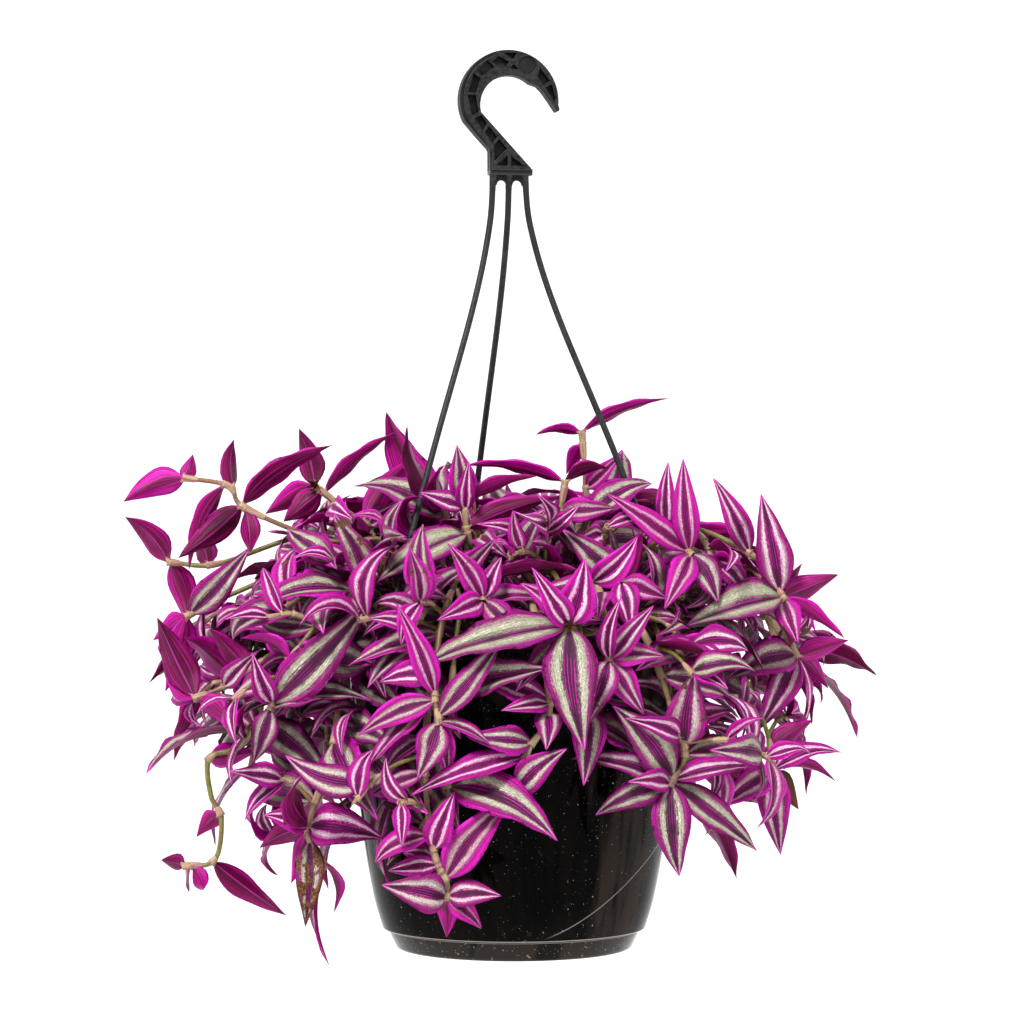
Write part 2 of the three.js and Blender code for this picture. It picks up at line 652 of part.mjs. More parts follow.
// Pose number `attempt` of a blade that the viewer sees. Later poses stray further from the first.
function seenBlade(stem, curve, index, attempt) {
  const [baseX, baseZ, tipX, tipZ, tipDepth, width, facing] = stem.blades[index];
  const about = seen(baseX, baseZ, stem.route.at(-1)[2]);
  const base = nearestOn(curve, about);
  const wander = (salt) => (chance(stem.seed, 64 * index + attempt, salt) - 0.5) * attempt;
  const step = Math.ceil(attempt / 2) * (attempt % 2 ? -3 : 3);
  const depth = base.y + tipDepth + (attempt ? step : 0);
  const tip = seen(tipX + 0.5 * wander(1), tipZ + 0.5 * wander(2), depth);
  const up = new THREE.Vector3(...facing);
  up.add(new THREE.Vector3(wander(3), wander(4), wander(5)).multiplyScalar(0.05));
  return {
    base,
    tip,
    up: up.normalize(),
    width: width * (1 - 0.008 * attempt),
    arch: BLADE.arch * (0.6 + 0.9 * chance(stem.seed, index, 6)),
    fold: BLADE.fold * (0.5 + chance(stem.seed, index, 7)),
    twist: 0.5 * (chance(stem.seed, index, 8) - 0.5),
    rows: base.distanceTo(tip) < SMALL_ROWS_UNDER ? SMALL_ROWS : LARGE_ROWS,
  };
}

// Pose number `attempt` of a blade set by the rule: the blades stand alternately left and right
// along the outer part of the stem, and the last three spread as a star from its end.
function ruleBlade(stem, curve, index, attempt) {
  const draw = (salt) => chance(stem.seed, 64 * index + attempt, salt);
  const fromEnd = stem.count - 1 - index;
  const share = fromEnd < 3 ? 1 - 0.028 * fromEnd : 1 - 0.09 * (fromEnd - 1.4);
  const base = curve.getPoint(share);
  const along = curve.getTangent(share);
  const out = new THREE.Vector3(base.x - AXIS_X, base.y, 0).normalize();
  const side = new THREE.Vector3().crossVectors(along, out).normalize();
  const sign = index % 2 ? 1 : -1;
  const spread = fromEnd < 3 ? [0.15, 1.1, -1.1][fromEnd] : 1.15 * sign;
  const stray = 0.25 + 0.05 * attempt;
  const turn = spread + stray * (draw(1) - 0.5) * 2;
  const heading = along.clone().multiplyScalar(Math.cos(turn)).addScaledVector(side, Math.sin(turn));
  heading.addScaledVector(out, stem.lean + stray * (draw(2) - 0.4));
  heading.z += 0.12 + stray * (draw(3) - 0.5);
  const length = between(RULE_BLADE.length, chance(stem.seed, index, 9)) * (1 - 0.012 * attempt);
  const tip = base.clone().addScaledVector(heading.normalize(), length);
  const up = out.clone().multiplyScalar(0.8);
  up.z += 0.65;
  up.add(new THREE.Vector3(draw(4) - 0.5, draw(5) - 0.5, draw(6) - 0.5).multiplyScalar(0.7));
  return {
    base,
    tip,
    up: up.normalize(),
    width: length * between(RULE_BLADE.widthShare, chance(stem.seed, index, 10)),
    arch: BLADE.arch * (0.7 + 0.9 * chance(stem.seed, index, 6)),
    fold: BLADE.fold * (0.5 + chance(stem.seed, index, 7)),
    twist: 0.6 * (chance(stem.seed, index, 8) - 0.5),
    rows: SMALL_ROWS,
  };
}

// The route of a stem set by the rule. Later attempts turn it a little round the pot.
function ruleRoute(tier, seed, degrees, attempt) {
  const sway = (attempt ? 14 : 6) * (chance(seed, attempt, 20) - 0.5);
  const turn = THREE.MathUtils.degToRad(degrees + sway);
  const reach = between(tier.reach, chance(seed, 0, 21));
  const height = between(tier.height, chance(seed, 0, 22));
  const [crestRadius, crestHeight] = tier.crest;
  const shoulder = round((crestRadius + 2 * reach) / 3, turn, (2 * crestHeight + height) / 3);
  return [round(crestRadius, turn, crestHeight), shoulder, round(reach, turn, height)];
}

// All leafy stems: their names, routes and the function that poses their blades.
function stemPlans() {
  const plans = [];
  for (const [name, stem] of Object.entries(SEEN_STEMS)) {
    const points = stem.route.map(([across, up, depth]) => seen(across, up, depth));
    plans.push({ ...stem, name, seed: plans.length, count: stem.blades.length, pose: seenBlade,
      routeAt: () => points });
  }
  for (const tier of TIERS) {
    for (let i = 0; i < tier.count; i += 1) {
      const seed = plans.length;
      const degrees = between([tier.from, tier.to], (i + 0.5) / tier.count);
      plans.push({ name: tier.name + "_" + (i + 1), seed, root: tier.root, count: tier.blades,
        lean: tier.lean, pose: ruleBlade,
        routeAt: (attempt) => ruleRoute(tier, seed, degrees, attempt) });
    }
  }
  return plans;
}

function boxOf(solid) {
  const { min, max } = solid.boundingBox();
  return new THREE.Box3(new THREE.Vector3(...min), new THREE.Vector3(...max));
}

// Whether a solid meets any of the placed pieces.
function meets(solid, placed) {
  const box = boxOf(solid);
  return placed.some((piece) => piece.box.intersectsBox(box)
    && !piece.solid.intersect(solid).isEmpty());
}

function piece(solid) {
  return { solid, box: boxOf(solid) };
}

// The first route, near the one planned, whose stem is clear of all that is placed.
function settleStem(plan, placed) {
  for (let attempt = 0; attempt < TRIES; attempt += 1) {
    const points = plan.routeAt(attempt);
    const turn = Math.atan2(points[0].x - AXIS_X, -points[0].y);
    const radius = plan.root + (attempt ? 22 : 0) * (chance(plan.seed, attempt, 30) - 0.5);
    const around = turn + (attempt ? 0.5 : 0) * (chance(plan.seed, attempt, 31) - 0.5);
    const root = round(Math.min(radius, 72), around, SOIL_TOP);
    const curve = stemCurve(root, points);
    if (!meets(stemSolid(curve, STEM.radius + BLADE.spare), placed)) return { root, curve };
  }
  return null;
}

// Sets every stem first and then every blade, each in the first pose that is clear of all else.
function growPlant(fixed) {
  const placed = [...fixed];
  const stems = [];
  for (const plan of stemPlans()) {
    const settled = settleStem(plan, placed);
    if (!settled) {
      missing.push(plan.name);
      continue;
    }
    const own = [piece(stemSolid(settled.curve))];
    stems.push({ plan, ...settled, own, tips: [] });
    placed.push(...own);
  }
  for (const stem of stems) {
    for (let index = 0; index < stem.plan.count; index += 1) {
      const found = settleBlade(stem, index, placed);
      if (found) {
        stem.own.push(found);
        placed.push(found);
      } else {
        missing.push(stem.plan.name + " blade " + index);
      }
    }
  }
  return stems;
}

// The first pose of a blade that is clear of other stems, and clear of its own beyond its root.
function settleBlade(stem, index, placed) {
  const others = placed.filter((other) => !stem.own.includes(other));
  for (let attempt = 0; attempt < TRIES; attempt += 1) {
    const blade = stem.plan.pose(stem.plan, stem.curve, index, attempt);
    if (meets(bladeSolid(blade, BLADE.spare), others)) continue;
    const outer = piece(bladeSolid(blade, 0, BLADE.root));
    if (meets(outer.solid, stem.own.map((own) => own.outer ?? own))) continue;
    return { ...piece(bladeSolid(blade)), outer };
  }
  return null;
}

const missing = [];

function potted() {
  const group = new THREE.Group();
  const pot = potSolid();
  const saucer = saucerSolid();
  const hanger = hangerSolid();
  const keepClear = [pot, saucer, hanger].map(piece);
  const stems = growPlant(keepClear);
  group.add(meshOf("hanger", hanger, LOOKS.hanger));
  group.add(meshOf("pot", pot, LOOKS.pot));
  group.add(meshOf("saucer", saucer, LOOKS.saucer));
  group.add(meshOf("soil", soilSolid(stems.map((stem) => stem.root)), LOOKS.soil));
  for (const stem of stems) {
    const solid = wasm.Manifold.union(stem.own.map((own) => own.solid));
    group.add(meshOf("stem_" + stem.plan.name, solid, LOOKS.plant));
  }
  group.userData.missing = missing;
  return group;
}

export default potted();
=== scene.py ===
"""Dresses a potted tradescantia that hangs from a hook: fine leaves, stems, pot, saucer, soil and hanger.

Metres, +Z up. The origin is the top of the hook's inner curve and the viewer stands towards -Y. The
plant's plan is in millimetres, as in the part's source, and a mesh is scaled once, when it is made.
"""

import logging
import math
from collections.abc import Sequence
from dataclasses import dataclass, field
from enum import Enum

import bpy
import numpy as np
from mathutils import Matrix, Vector
from mathutils.kdtree import KDTree

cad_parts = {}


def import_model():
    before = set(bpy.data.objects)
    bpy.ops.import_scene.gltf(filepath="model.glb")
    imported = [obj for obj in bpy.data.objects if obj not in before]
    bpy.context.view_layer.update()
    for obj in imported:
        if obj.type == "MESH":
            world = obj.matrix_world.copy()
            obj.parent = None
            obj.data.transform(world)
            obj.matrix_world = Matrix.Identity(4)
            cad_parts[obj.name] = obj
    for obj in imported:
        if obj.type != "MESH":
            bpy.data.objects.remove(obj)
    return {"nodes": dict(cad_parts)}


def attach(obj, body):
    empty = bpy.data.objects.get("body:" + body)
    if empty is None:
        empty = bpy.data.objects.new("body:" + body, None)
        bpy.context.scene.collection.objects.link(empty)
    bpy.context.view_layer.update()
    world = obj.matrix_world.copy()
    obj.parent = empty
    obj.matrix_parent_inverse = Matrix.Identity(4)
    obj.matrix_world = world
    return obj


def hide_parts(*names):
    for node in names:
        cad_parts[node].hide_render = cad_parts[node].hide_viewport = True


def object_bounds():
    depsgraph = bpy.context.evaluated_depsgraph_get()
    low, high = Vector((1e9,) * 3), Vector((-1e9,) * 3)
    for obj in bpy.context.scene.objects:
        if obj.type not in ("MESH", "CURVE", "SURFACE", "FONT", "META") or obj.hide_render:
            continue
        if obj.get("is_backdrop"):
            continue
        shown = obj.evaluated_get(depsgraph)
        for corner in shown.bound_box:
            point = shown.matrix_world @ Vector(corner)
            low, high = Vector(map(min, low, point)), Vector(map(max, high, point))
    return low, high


LOG = logging.getLogger("tradescantia")
MM = 0.001
TAU = 2 * math.pi

Rgb = tuple[int, int, int]
Socket = bpy.types.NodeSocket
Inputs = dict[str | int, object]
Array = np.ndarray
Point2 = tuple[float, float]

AXIS_X = 2.5
SOIL_TOP = -292.0
EYE_X, EYE_Z, EYE_DISTANCE = 1.5, -218.0, 1700.0
VIEW_WIDTH = 512.0


# --- node trees -----------------------------------------------------------------------------


def linear(color: Rgb) -> tuple[float, float, float, float]:
    """An 8-bit sRGB colour as the linear RGBA that nodes take."""
    parts = [c / 255 for c in color]
    return (*[p / 12.92 if p <= 0.04045 else ((p + 0.055) / 1.055) ** 2.4 for p in parts], 1.0)


class NodeTree:
    """Short calls that add nodes to a tree and join them."""

    def __init__(self, tree: bpy.types.NodeTree) -> None:
        """Args: tree: the tree that the nodes go into."""
        self.tree = tree

    def put(self, socket: Socket, value: object) -> None:
        """Joins a socket to another one, or sets its constant.

        Args:
            socket: the input to feed.
            value: an output socket or a constant.
        """
        if isinstance(value, bpy.types.NodeSocket):
            self.tree.links.new(value, socket)
        else:
            socket.default_value = value

    def node(self, kind: str, inputs: Inputs | None = None, **settings: object) -> bpy.types.Node:
        """Adds a node.

        Args:
            kind: the node's type name.
            inputs: values or sockets for its inputs, by name or index.
            settings: attributes of the node itself.
        Returns:
            The new node.
        """
        made = self.tree.nodes.new(kind)
        for name, value in settings.items():
            setattr(made, name, value)
        for key, value in (inputs or {}).items():
            self.put(made.inputs[key], value)
        return made


class Shader(NodeTree):
    """A material whose look is built from nodes round one Principled shader."""

    def __init__(self, name: str) -> None:
        """Args: name: the material's name."""
        self.material = bpy.data.materials.new(name)
        self.material.use_nodes = True
        super().__init__(self.material.node_tree)
        self.tree.nodes.clear()
        self.bsdf = self.node("ShaderNodeBsdfPrincipled")
        self.node("ShaderNodeOutputMaterial", {"Surface": self.bsdf.outputs[0]})

    def surface(self, **values: object) -> None:
        """Args: values: inputs of the shader, with _ for each space in a name."""
        for name, value in values.items():
            self.put(self.bsdf.inputs[name.replace("_", " ")], value)

    def place(self, scale: tuple[float, float, float] = (1, 1, 1)) -> Socket:
        """Object coordinates in millimetres, stretched by scale."""
        where = self.node("ShaderNodeTexCoord").outputs["Object"]
        sized = tuple(s / MM for s in scale)
        return self.node("ShaderNodeVectorMath", {0: where, 1: sized}, operation="MULTIPLY").outputs[0]

    def attribute(self, name: str) -> tuple[Socket, Socket, Socket]:
        """The three parts of a vector attribute of the mesh."""
        found = self.node("ShaderNodeAttribute", attribute_name=name).outputs["Vector"]
        split = self.node("ShaderNodeSeparateXYZ", {0: found})
        return split.outputs[0], split.outputs[1], split.outputs[2]

    def math(self, operation: str, first: object, second: object = 0.0, third: object = 0.0) -> Socket:
        """One step of arithmetic.

        Args:
            operation: the Math node's operation.
            first, second, third: constants or sockets.
        Returns:
            The result's socket.
        """
        inputs = {0: first, 1: second, 2: third}
        return self.node("ShaderNodeMath", inputs, operation=operation).outputs[0]

    def times(self, first: object, second: object) -> Socket:
        """The product of two values."""
        return self.math("MULTIPLY", first, second)

    def scaled(self, value: object, by: object, plus: object) -> Socket:
        """A value times by, plus something."""
        return self.math("MULTIPLY_ADD", value, by, plus)

    def rest(self, share: Socket) -> Socket:
        """What a share leaves of 1."""
        return self.math("SUBTRACT", 1.0, share)

    def on_blade(self, way: tuple[Socket, Socket, Socket], along: float, side: float) -> Socket:
        """Coordinates along and across a blade.

        Args:
            way: the place along the blade, the place across it and a number of its own.
            along, side: how finely a pattern is drawn each way.
        Returns:
            The coordinates' socket.
        """
        return self.joined(self.times(way[0], along), self.times(way[1], side), way[2])

    def joined(self, x: object, y: object, z: object = 0.0) -> Socket:
        """A vector of three values."""
        return self.node("ShaderNodeCombineXYZ", {0: x, 1: y, 2: z}).outputs[0]

    def noise(self, at: Socket, scale: float, detail: float = 2.0, rough: float = 0.5) -> Socket:
        """Noise from 0 to 1 at the given coordinates."""
        inputs = {"Vector": at, "Scale": scale, "Detail": detail, "Roughness": rough}
        return self.node("ShaderNodeTexNoise", inputs).outputs["Fac"]

    def step(self, value: Socket, start: float, end: float) -> Socket:
        """Rises smoothly from 0 to 1 while value goes from start to end."""
        inputs = {"Value": value, "From Min": start, "From Max": end}
        return self.node("ShaderNodeMapRange", inputs, interpolation_type="SMOOTHSTEP").outputs[0]

    def ramp(self, value: Socket, stops: Sequence[tuple[float, Rgb]]) -> Socket:
        """A colour that changes along a value.

        Args:
            value: what it follows.
            stops: positions from 0 to 1 and their colours, in rising order.
        Returns:
            The colour's socket.
        """
        made = self.node("ShaderNodeValToRGB", {0: value})
        elements = made.color_ramp.elements
        while len(elements) < len(stops):
            elements.new(0.5)
        for element, (position, color) in zip(elements, stops):
            element.position = position
            element.color = linear(color)
        return made.outputs[0]

    def mix(self, share: object, first: object, second: object, blend: str = "MIX") -> Socket:
        """Two colours mixed.

        Args:
            share: how much of the second, a constant or a socket.
            first, second: 8-bit colours or colour sockets.
            blend: the Mix node's blend type.
        Returns:
            The mixed colour's socket.
        """
        values = [linear(c) if isinstance(c, tuple) else c for c in (first, second)]
        inputs = {0: share, 6: values[0], 7: values[1]}
        return self.node("ShaderNodeMix", inputs, data_type="RGBA", blend_type=blend).outputs[2]

    def shaded(self, color: Socket, low: float, high: float, by: Socket) -> Socket:
        """A colour made lighter or darker, from low to high times, as by goes from 0 to 1."""
        factor = self.node("ShaderNodeMapRange", {"Value": by, "To Min": low, "To Max": high}).outputs[0]
        return self.node("ShaderNodeVectorMath", {0: color, "Scale": factor}, operation="SCALE").outputs[0]

    def inner(self, color: Socket) -> Socket:
        """A colour darkened to dark wine where the mesh's attribute shade says it lies deep inside: painted
        shade, baked from how little sky and open space each point sees.
        """
        deep = self.node("ShaderNodeAttribute", attribute_name="shade").outputs["Fac"]
        dark = self.mix(1.0, color, (150, 84, 128), "MULTIPLY")
        return self.mix(self.step(deep, 0.15, 0.75), color, self.mix(0.5, dark, (26, 3, 20)))

    def bump(self, height: Socket, depth: float, strength: float = 1.0) -> None:
        """Raises the surface by a height from 0 to 1, depth millimetres at most."""
        inputs = {"Strength": strength, "Distance": depth * MM, "Height": height}
        self.put(self.bsdf.inputs["Normal"], self.node("ShaderNodeBump", inputs).outputs[0])


# --- finishes -------------------------------------------------------------------------------


@dataclass(frozen=True)
class LeafUpper:
    """Upper skin of a leaf: purple, with a mottled silver band in each half, painted glints on the silver and
    a magenta edge.

    The mesh gives a UV map, along and across the blade, and the attributes growth (tone, age, dryness)
    and shade, which says how deep inside the foliage the point lies and where the painted shade falls.
    """

    edge: Rgb = (238, 36, 206)
    silver_young: Rgb = (242, 204, 228)
    silver_old: Rgb = (178, 182, 152)
    green: Rgb = (128, 146, 96)
    middle_young: Rgb = (100, 10, 72)
    middle_old: Rgb = (80, 26, 64)
    line: Rgb = (216, 16, 178)
    dry: Rgb = (98, 58, 36)

    def make(self) -> bpy.types.Material:
        """Returns the material."""
        s = Shader("leaf_upper")
        uv = s.node("ShaderNodeUVMap", uv_map="blade").outputs[0]
        split = s.node("ShaderNodeSeparateXYZ", {0: uv})
        along, side = split.outputs[0], s.scaled(split.outputs[1], 2.0, -1.0)
        tone, age, dryness = s.attribute("growth")
        across = s.math("ABSOLUTE", side)
        salt = s.times(tone, 37.0)
        way = (along, side, salt)
        fine = s.step(s.noise(s.place((1, 1, 1)), 1.4, 3.0, 0.8), 0.3, 0.7)
        grain = s.noise(s.on_blade(way, 30.0, 24.0), 1.0, 2.0, 0.8)
        streaks = s.noise(s.on_blade(way, 2.2, 14.0), 1.0, 3.0)
        sway = s.noise(s.joined(s.times(along, 4.0), s.math("SIGN", side), salt), 1.0, 2.0)
        fibre = s.noise(s.on_blade(way, 1.7, 44.0), 1.0, 2.0)
        wide = s.times(across, s.scaled(s.math("FRACT", salt), 0.3, 0.85))
        shift = s.scaled(sway, 0.24, s.scaled(grain, 0.34, -0.29))
        band = s.math("ADD", wide, s.scaled(streaks, 0.24, s.math("SUBTRACT", shift, 0.2)))
        band = s.scaled(fibre, 0.16, band)
        young = s.ramp(band, (
            (0.0, (70, 8, 52)), (0.18, self.middle_young), (0.26, (196, 10, 152)), (0.325, self.silver_young),
            (0.45, (240, 220, 228)), (0.51, (208, 26, 172)), (0.6, (126, 4, 90)), (0.79, (142, 6, 106)),
            (0.91, (198, 8, 160)), (1.0, self.edge),
        ))
        old = s.ramp(band, (
            (0.0, (60, 16, 46)), (0.2, self.middle_old), (0.28, (116, 102, 92)), (0.35, self.silver_old),
            (0.54, (178, 176, 150)), (0.61, (122, 50, 92)), (0.78, (106, 14, 78)), (0.89, (150, 8, 118)),
            (0.96, (212, 12, 176)), (1.0, self.edge),
        ))
        aged = s.step(s.math("ADD", age, s.scaled(streaks, 0.24, -0.12)), 0.2, 0.85)
        oldest = s.ramp(band, (
            (0.0, (78, 30, 66)), (0.1, (88, 40, 72)), (0.17, (140, 134, 112)), (0.3, self.silver_old),
            (0.5, (168, 172, 138)), (0.64, (142, 138, 112)), (0.72, (104, 44, 84)), (0.86, (132, 12, 104)),
            (0.95, (196, 14, 164)), (1.0, self.edge),
        ))
        color = s.mix(s.step(age, 1.0, 1.25), s.mix(aged, young, old), oldest)
        color = self._veins(s, color, way)
        silver = s.times(s.step(band, 0.27, 0.36), s.rest(s.step(band, 0.47, 0.58)))
        bright = s.times(s.step(band, 0.55, 0.64), s.step(fibre, 0.5, 0.62))
        color = s.mix(s.times(bright, 0.6), color, self.line)
        thin = s.times(silver, s.step(fibre, 0.46, 0.34))
        color = s.mix(s.times(thin, 0.6), color, (140, 70, 120))
        color = self._ends(s, color, along, silver, age)
        flush = s.times(s.step(tone, 0.55, 0.95), s.scaled(age, -0.7, 0.75))
        color = s.mix(flush, color, s.ramp(band, (
            (0.1, (104, 4, 70)), (0.5, (176, 8, 134)), (0.95, (222, 20, 184)),
        )))
        # Near-white specks on the silver bands: painted glints.
        painted_glint = s.times(silver, s.step(grain, 0.5, 0.7))
        color = s.mix(s.times(painted_glint, 0.6), color, (250, 248, 238))
        freckle = s.times(silver, s.step(grain, 0.5, 0.3))
        color = s.mix(s.times(freckle, 0.5), color, (112, 60, 100))
        color = s.shaded(color, 0.64, 1.3, fine)
        color = s.shaded(color, 0.7, 1.36, fibre)
        color = s.shaded(color, 0.86, 1.12, s.noise(s.place((1, 1, 1)), 0.06, 1.0))
        color = self._dried(s, color, along, across, dryness)
        rough = s.scaled(silver, -0.08, 0.45)
        # inner paints shade: the colour turns to dark wine deep inside the foliage.
        s.surface(Base_Color=s.inner(color), Roughness=rough, Specular_IOR_Level=0.2)
        ribs = s.noise(s.on_blade(way, 1.2, 24.0), 1.0, 1.0)
        s.bump(s.scaled(fine, 0.35, ribs), 0.26, 0.9)
        return s.material

    def _veins(self, s: Shader, color: Socket, way: tuple[Socket, Socket, Socket]) -> Socket:
        """Adds thin magenta lines on both sides of the midrib.

        Args:
            s: the shader.
            color: the colour so far.
            way: the place along the blade, the place across it and a number of its own.
        Returns:
            The colour with its lines.
        """
        along, side, salt = way
        drift = s.noise(s.on_blade(way, 2.0, 2.0), 1.0, 1.0)
        phase = s.scaled(side, 46.0, s.scaled(drift, 9.0, salt))
        near = s.rest(s.step(s.math("ABSOLUTE", side), 0.2, 0.36))
        lines = s.times(s.step(s.math("SINE", phase), 0.55, 0.95), near)
        faint = s.step(s.noise(s.joined(s.times(along, 3.0), side, salt), 1.3, 1.0), 0.3, 0.6)
        rib = s.rest(s.step(s.math("ABSOLUTE", side), 0.015, 0.05))
        marked = s.mix(s.times(s.times(lines, faint), 0.85), color, self.line)
        return s.mix(s.times(rib, 0.55), marked, (58, 18, 54))

    def _ends(self, s: Shader, color: Socket, along: Socket, silver: Socket, age: Socket) -> Socket:
        """Fades the silver into magenta at the tip, and into green at the base of an old leaf.

        Args:
            s: the shader.
            color: the colour so far.
            along: the place along the blade.
            silver: how much of the silver band there is.
            age: the leaf's age.
        Returns:
            The colour with its ends.
        """
        tip = s.step(along, 0.86, 0.99)
        color = s.mix(s.times(tip, 0.8), color, self.edge)
        base = s.rest(s.step(along, 0.03, 0.36))
        greened = s.times(s.times(base, silver), age)
        color = s.mix(s.times(greened, 0.7), color, self.green)
        root = s.rest(s.step(along, 0.0, 0.09))
        return s.mix(s.times(root, 0.6), color, (150, 96, 88))

    def _dried(self, s: Shader, color: Socket, along: Socket, across: Socket, dryness: Socket) -> Socket:
        """Turns the tip, the edge and some patches brown, as far as the leaf has dried.

        Args:
            s: the shader.
            color: the colour so far.
            along: the place along the blade.
            across: the distance from the midrib.
            dryness: how far the leaf has dried.
        Returns:
            The colour with its dry parts.
        """
        patch = s.noise(s.place((1, 1, 1)), 0.16, 3.0, 0.6)
        reach = s.math("ADD", patch, s.scaled(across, 0.12, s.times(along, 0.12)))
        gone = s.step(s.math("ADD", reach, s.times(dryness, 0.6)), 0.86, 0.96)
        stops = ((0.3, (60, 32, 24)), (0.5, self.dry), (0.7, (142, 98, 68)))
        return s.mix(gone, color, s.ramp(s.noise(s.place((1, 1, 1)), 0.9, 3.0), stops))


@dataclass(frozen=True)
class LeafUnder:
    """Under skin of a leaf: wine red to bright magenta, with fine lines along it."""

    deep: Rgb = (80, 2, 46)
    full: Rgb = (142, 4, 92)
    bright: Rgb = (206, 8, 166)
    top: Rgb = (226, 34, 198)
    dry: Rgb = (98, 58, 36)

    def make(self) -> bpy.types.Material:
        """Returns the material."""
        s = Shader("leaf_under")
        uv = s.node("ShaderNodeUVMap", uv_map="blade").outputs[0]
        split = s.node("ShaderNodeSeparateXYZ", {0: uv})
        along, side = split.outputs[0], s.scaled(split.outputs[1], 2.0, -1.0)
        tone, age, dryness = s.attribute("growth")
        salt = s.times(tone, 53.0)
        lines = s.noise(s.on_blade((along, side, salt), 1.4, 17.0), 1.0, 2.0)
        value = s.scaled(lines, 1.4, s.times(s.math("ABSOLUTE", side), 0.36))
        value = s.math("ADD", value, s.scaled(tone, 0.42, s.scaled(age, -0.2, -0.56)))
        color = s.ramp(value, ((0.2, self.deep), (0.5, self.full), (0.76, self.bright), (1.0, self.top)))
        rib = s.rest(s.step(s.math("ABSOLUTE", side), 0.03, 0.09))
        veined = s.mix(s.step(tone, 0.4, 0.6), (214, 50, 176), (70, 6, 40))
        color = s.mix(s.times(rib, 0.5), color, veined)
        rim = s.step(s.math("ABSOLUTE", side), 0.88, 1.0)
        color = s.mix(s.times(rim, 0.6), color, (224, 48, 206))
        patch = s.noise(s.place((1, 1, 1)), 0.18, 3.0, 0.6)
        gone = s.step(s.scaled(dryness, 0.6, patch), 0.78, 0.9)
        color = s.mix(gone, color, self.dry)
        fine = s.noise(s.place((1, 1, 1)), 2.0, 2.0)
        # inner paints shade: the colour turns to dark wine deep inside the foliage.
        color = s.inner(s.shaded(color, 0.75, 1.22, fine))
        s.surface(Base_Color=color, Roughness=0.4, Specular_IOR_Level=0.2)
        s.bump(s.scaled(fine, 0.3, lines), 0.3, 0.9)
        return s.material


@dataclass(frozen=True)
class StemSkin:
    """Skin of a stem: olive green, flushed with purple in places, with faint lines along it."""

    olive: Rgb = (112, 114, 46)
    pale: Rgb = (176, 170, 98)
    flush: Rgb = (138, 76, 78)

    def make(self) -> bpy.types.Material:
        """Returns the material."""
        s = Shader("stem_skin")
        tone, along, joint = s.attribute("growth")
        wide = s.noise(s.place((1, 1, 1)), 0.05, 2.0)
        fine = s.noise(s.place((1, 1, 0.2)), 1.6, 2.0)
        green = s.mix(s.step(fine, 0.42, 0.85), self.olive, self.pale)
        flushed = s.step(s.math("ADD", s.times(tone, 0.5), s.times(wide, 0.7)), 0.52, 0.9)
        color = s.mix(s.times(flushed, 0.7), green, self.flush)
        color = s.mix(s.times(joint, 0.6), color, (190, 158, 122))
        color = s.shaded(color, 0.7, 1.15, s.noise(s.joined(along, tone), 2.2, 1.0))
        # inner paints shade: the colour turns to dark wine deep inside the foliage.
        s.surface(Base_Color=s.inner(color), Roughness=0.4, Specular_IOR_Level=0.4)
        s.bump(fine, 0.2, 0.6)
        return s.material


@dataclass(frozen=True)
class SheathSkin:
    """Papery sleeve where a leaf clasps the stem, pale with purple lines."""

    pale: Rgb = (184, 162, 118)
    line: Rgb = (168, 92, 118)

    def make(self) -> bpy.types.Material:
        """Returns the material."""
        s = Shader("sheath_skin")
        tone, along, around = s.attribute("growth")
        lines = s.noise(s.joined(s.times(around, 26.0), along, s.times(tone, 9.0)), 1.0, 1.0)
        color = s.mix(s.step(lines, 0.5, 0.62), self.pale, self.line)
        worn = s.noise(s.place((1, 1, 1)), 0.5, 2.0)
        color = s.mix(s.times(s.step(worn, 0.54, 0.76), 0.5), color, (140, 92, 58))
        # inner paints shade: the colour turns to dark wine deep inside the foliage.
        s.surface(Base_Color=s.inner(color), Roughness=0.5)
        s.bump(lines, 0.2, 0.6)
        return s.material


@dataclass(frozen=True)
class HairSkin:
    """Soft pale hair at the mouth of a sheath."""

    color: Rgb = (228, 196, 214)
    root: Rgb = (180, 96, 150)

    def make(self) -> bpy.types.Material:
        """Returns the material."""
        s = Shader("hair")
        color = s.mix(s.noise(s.place((1, 1, 1)), 1.4, 1.0), self.color, self.root)
        s.surface(Base_Color=color, Roughness=0.6)
        return s.material


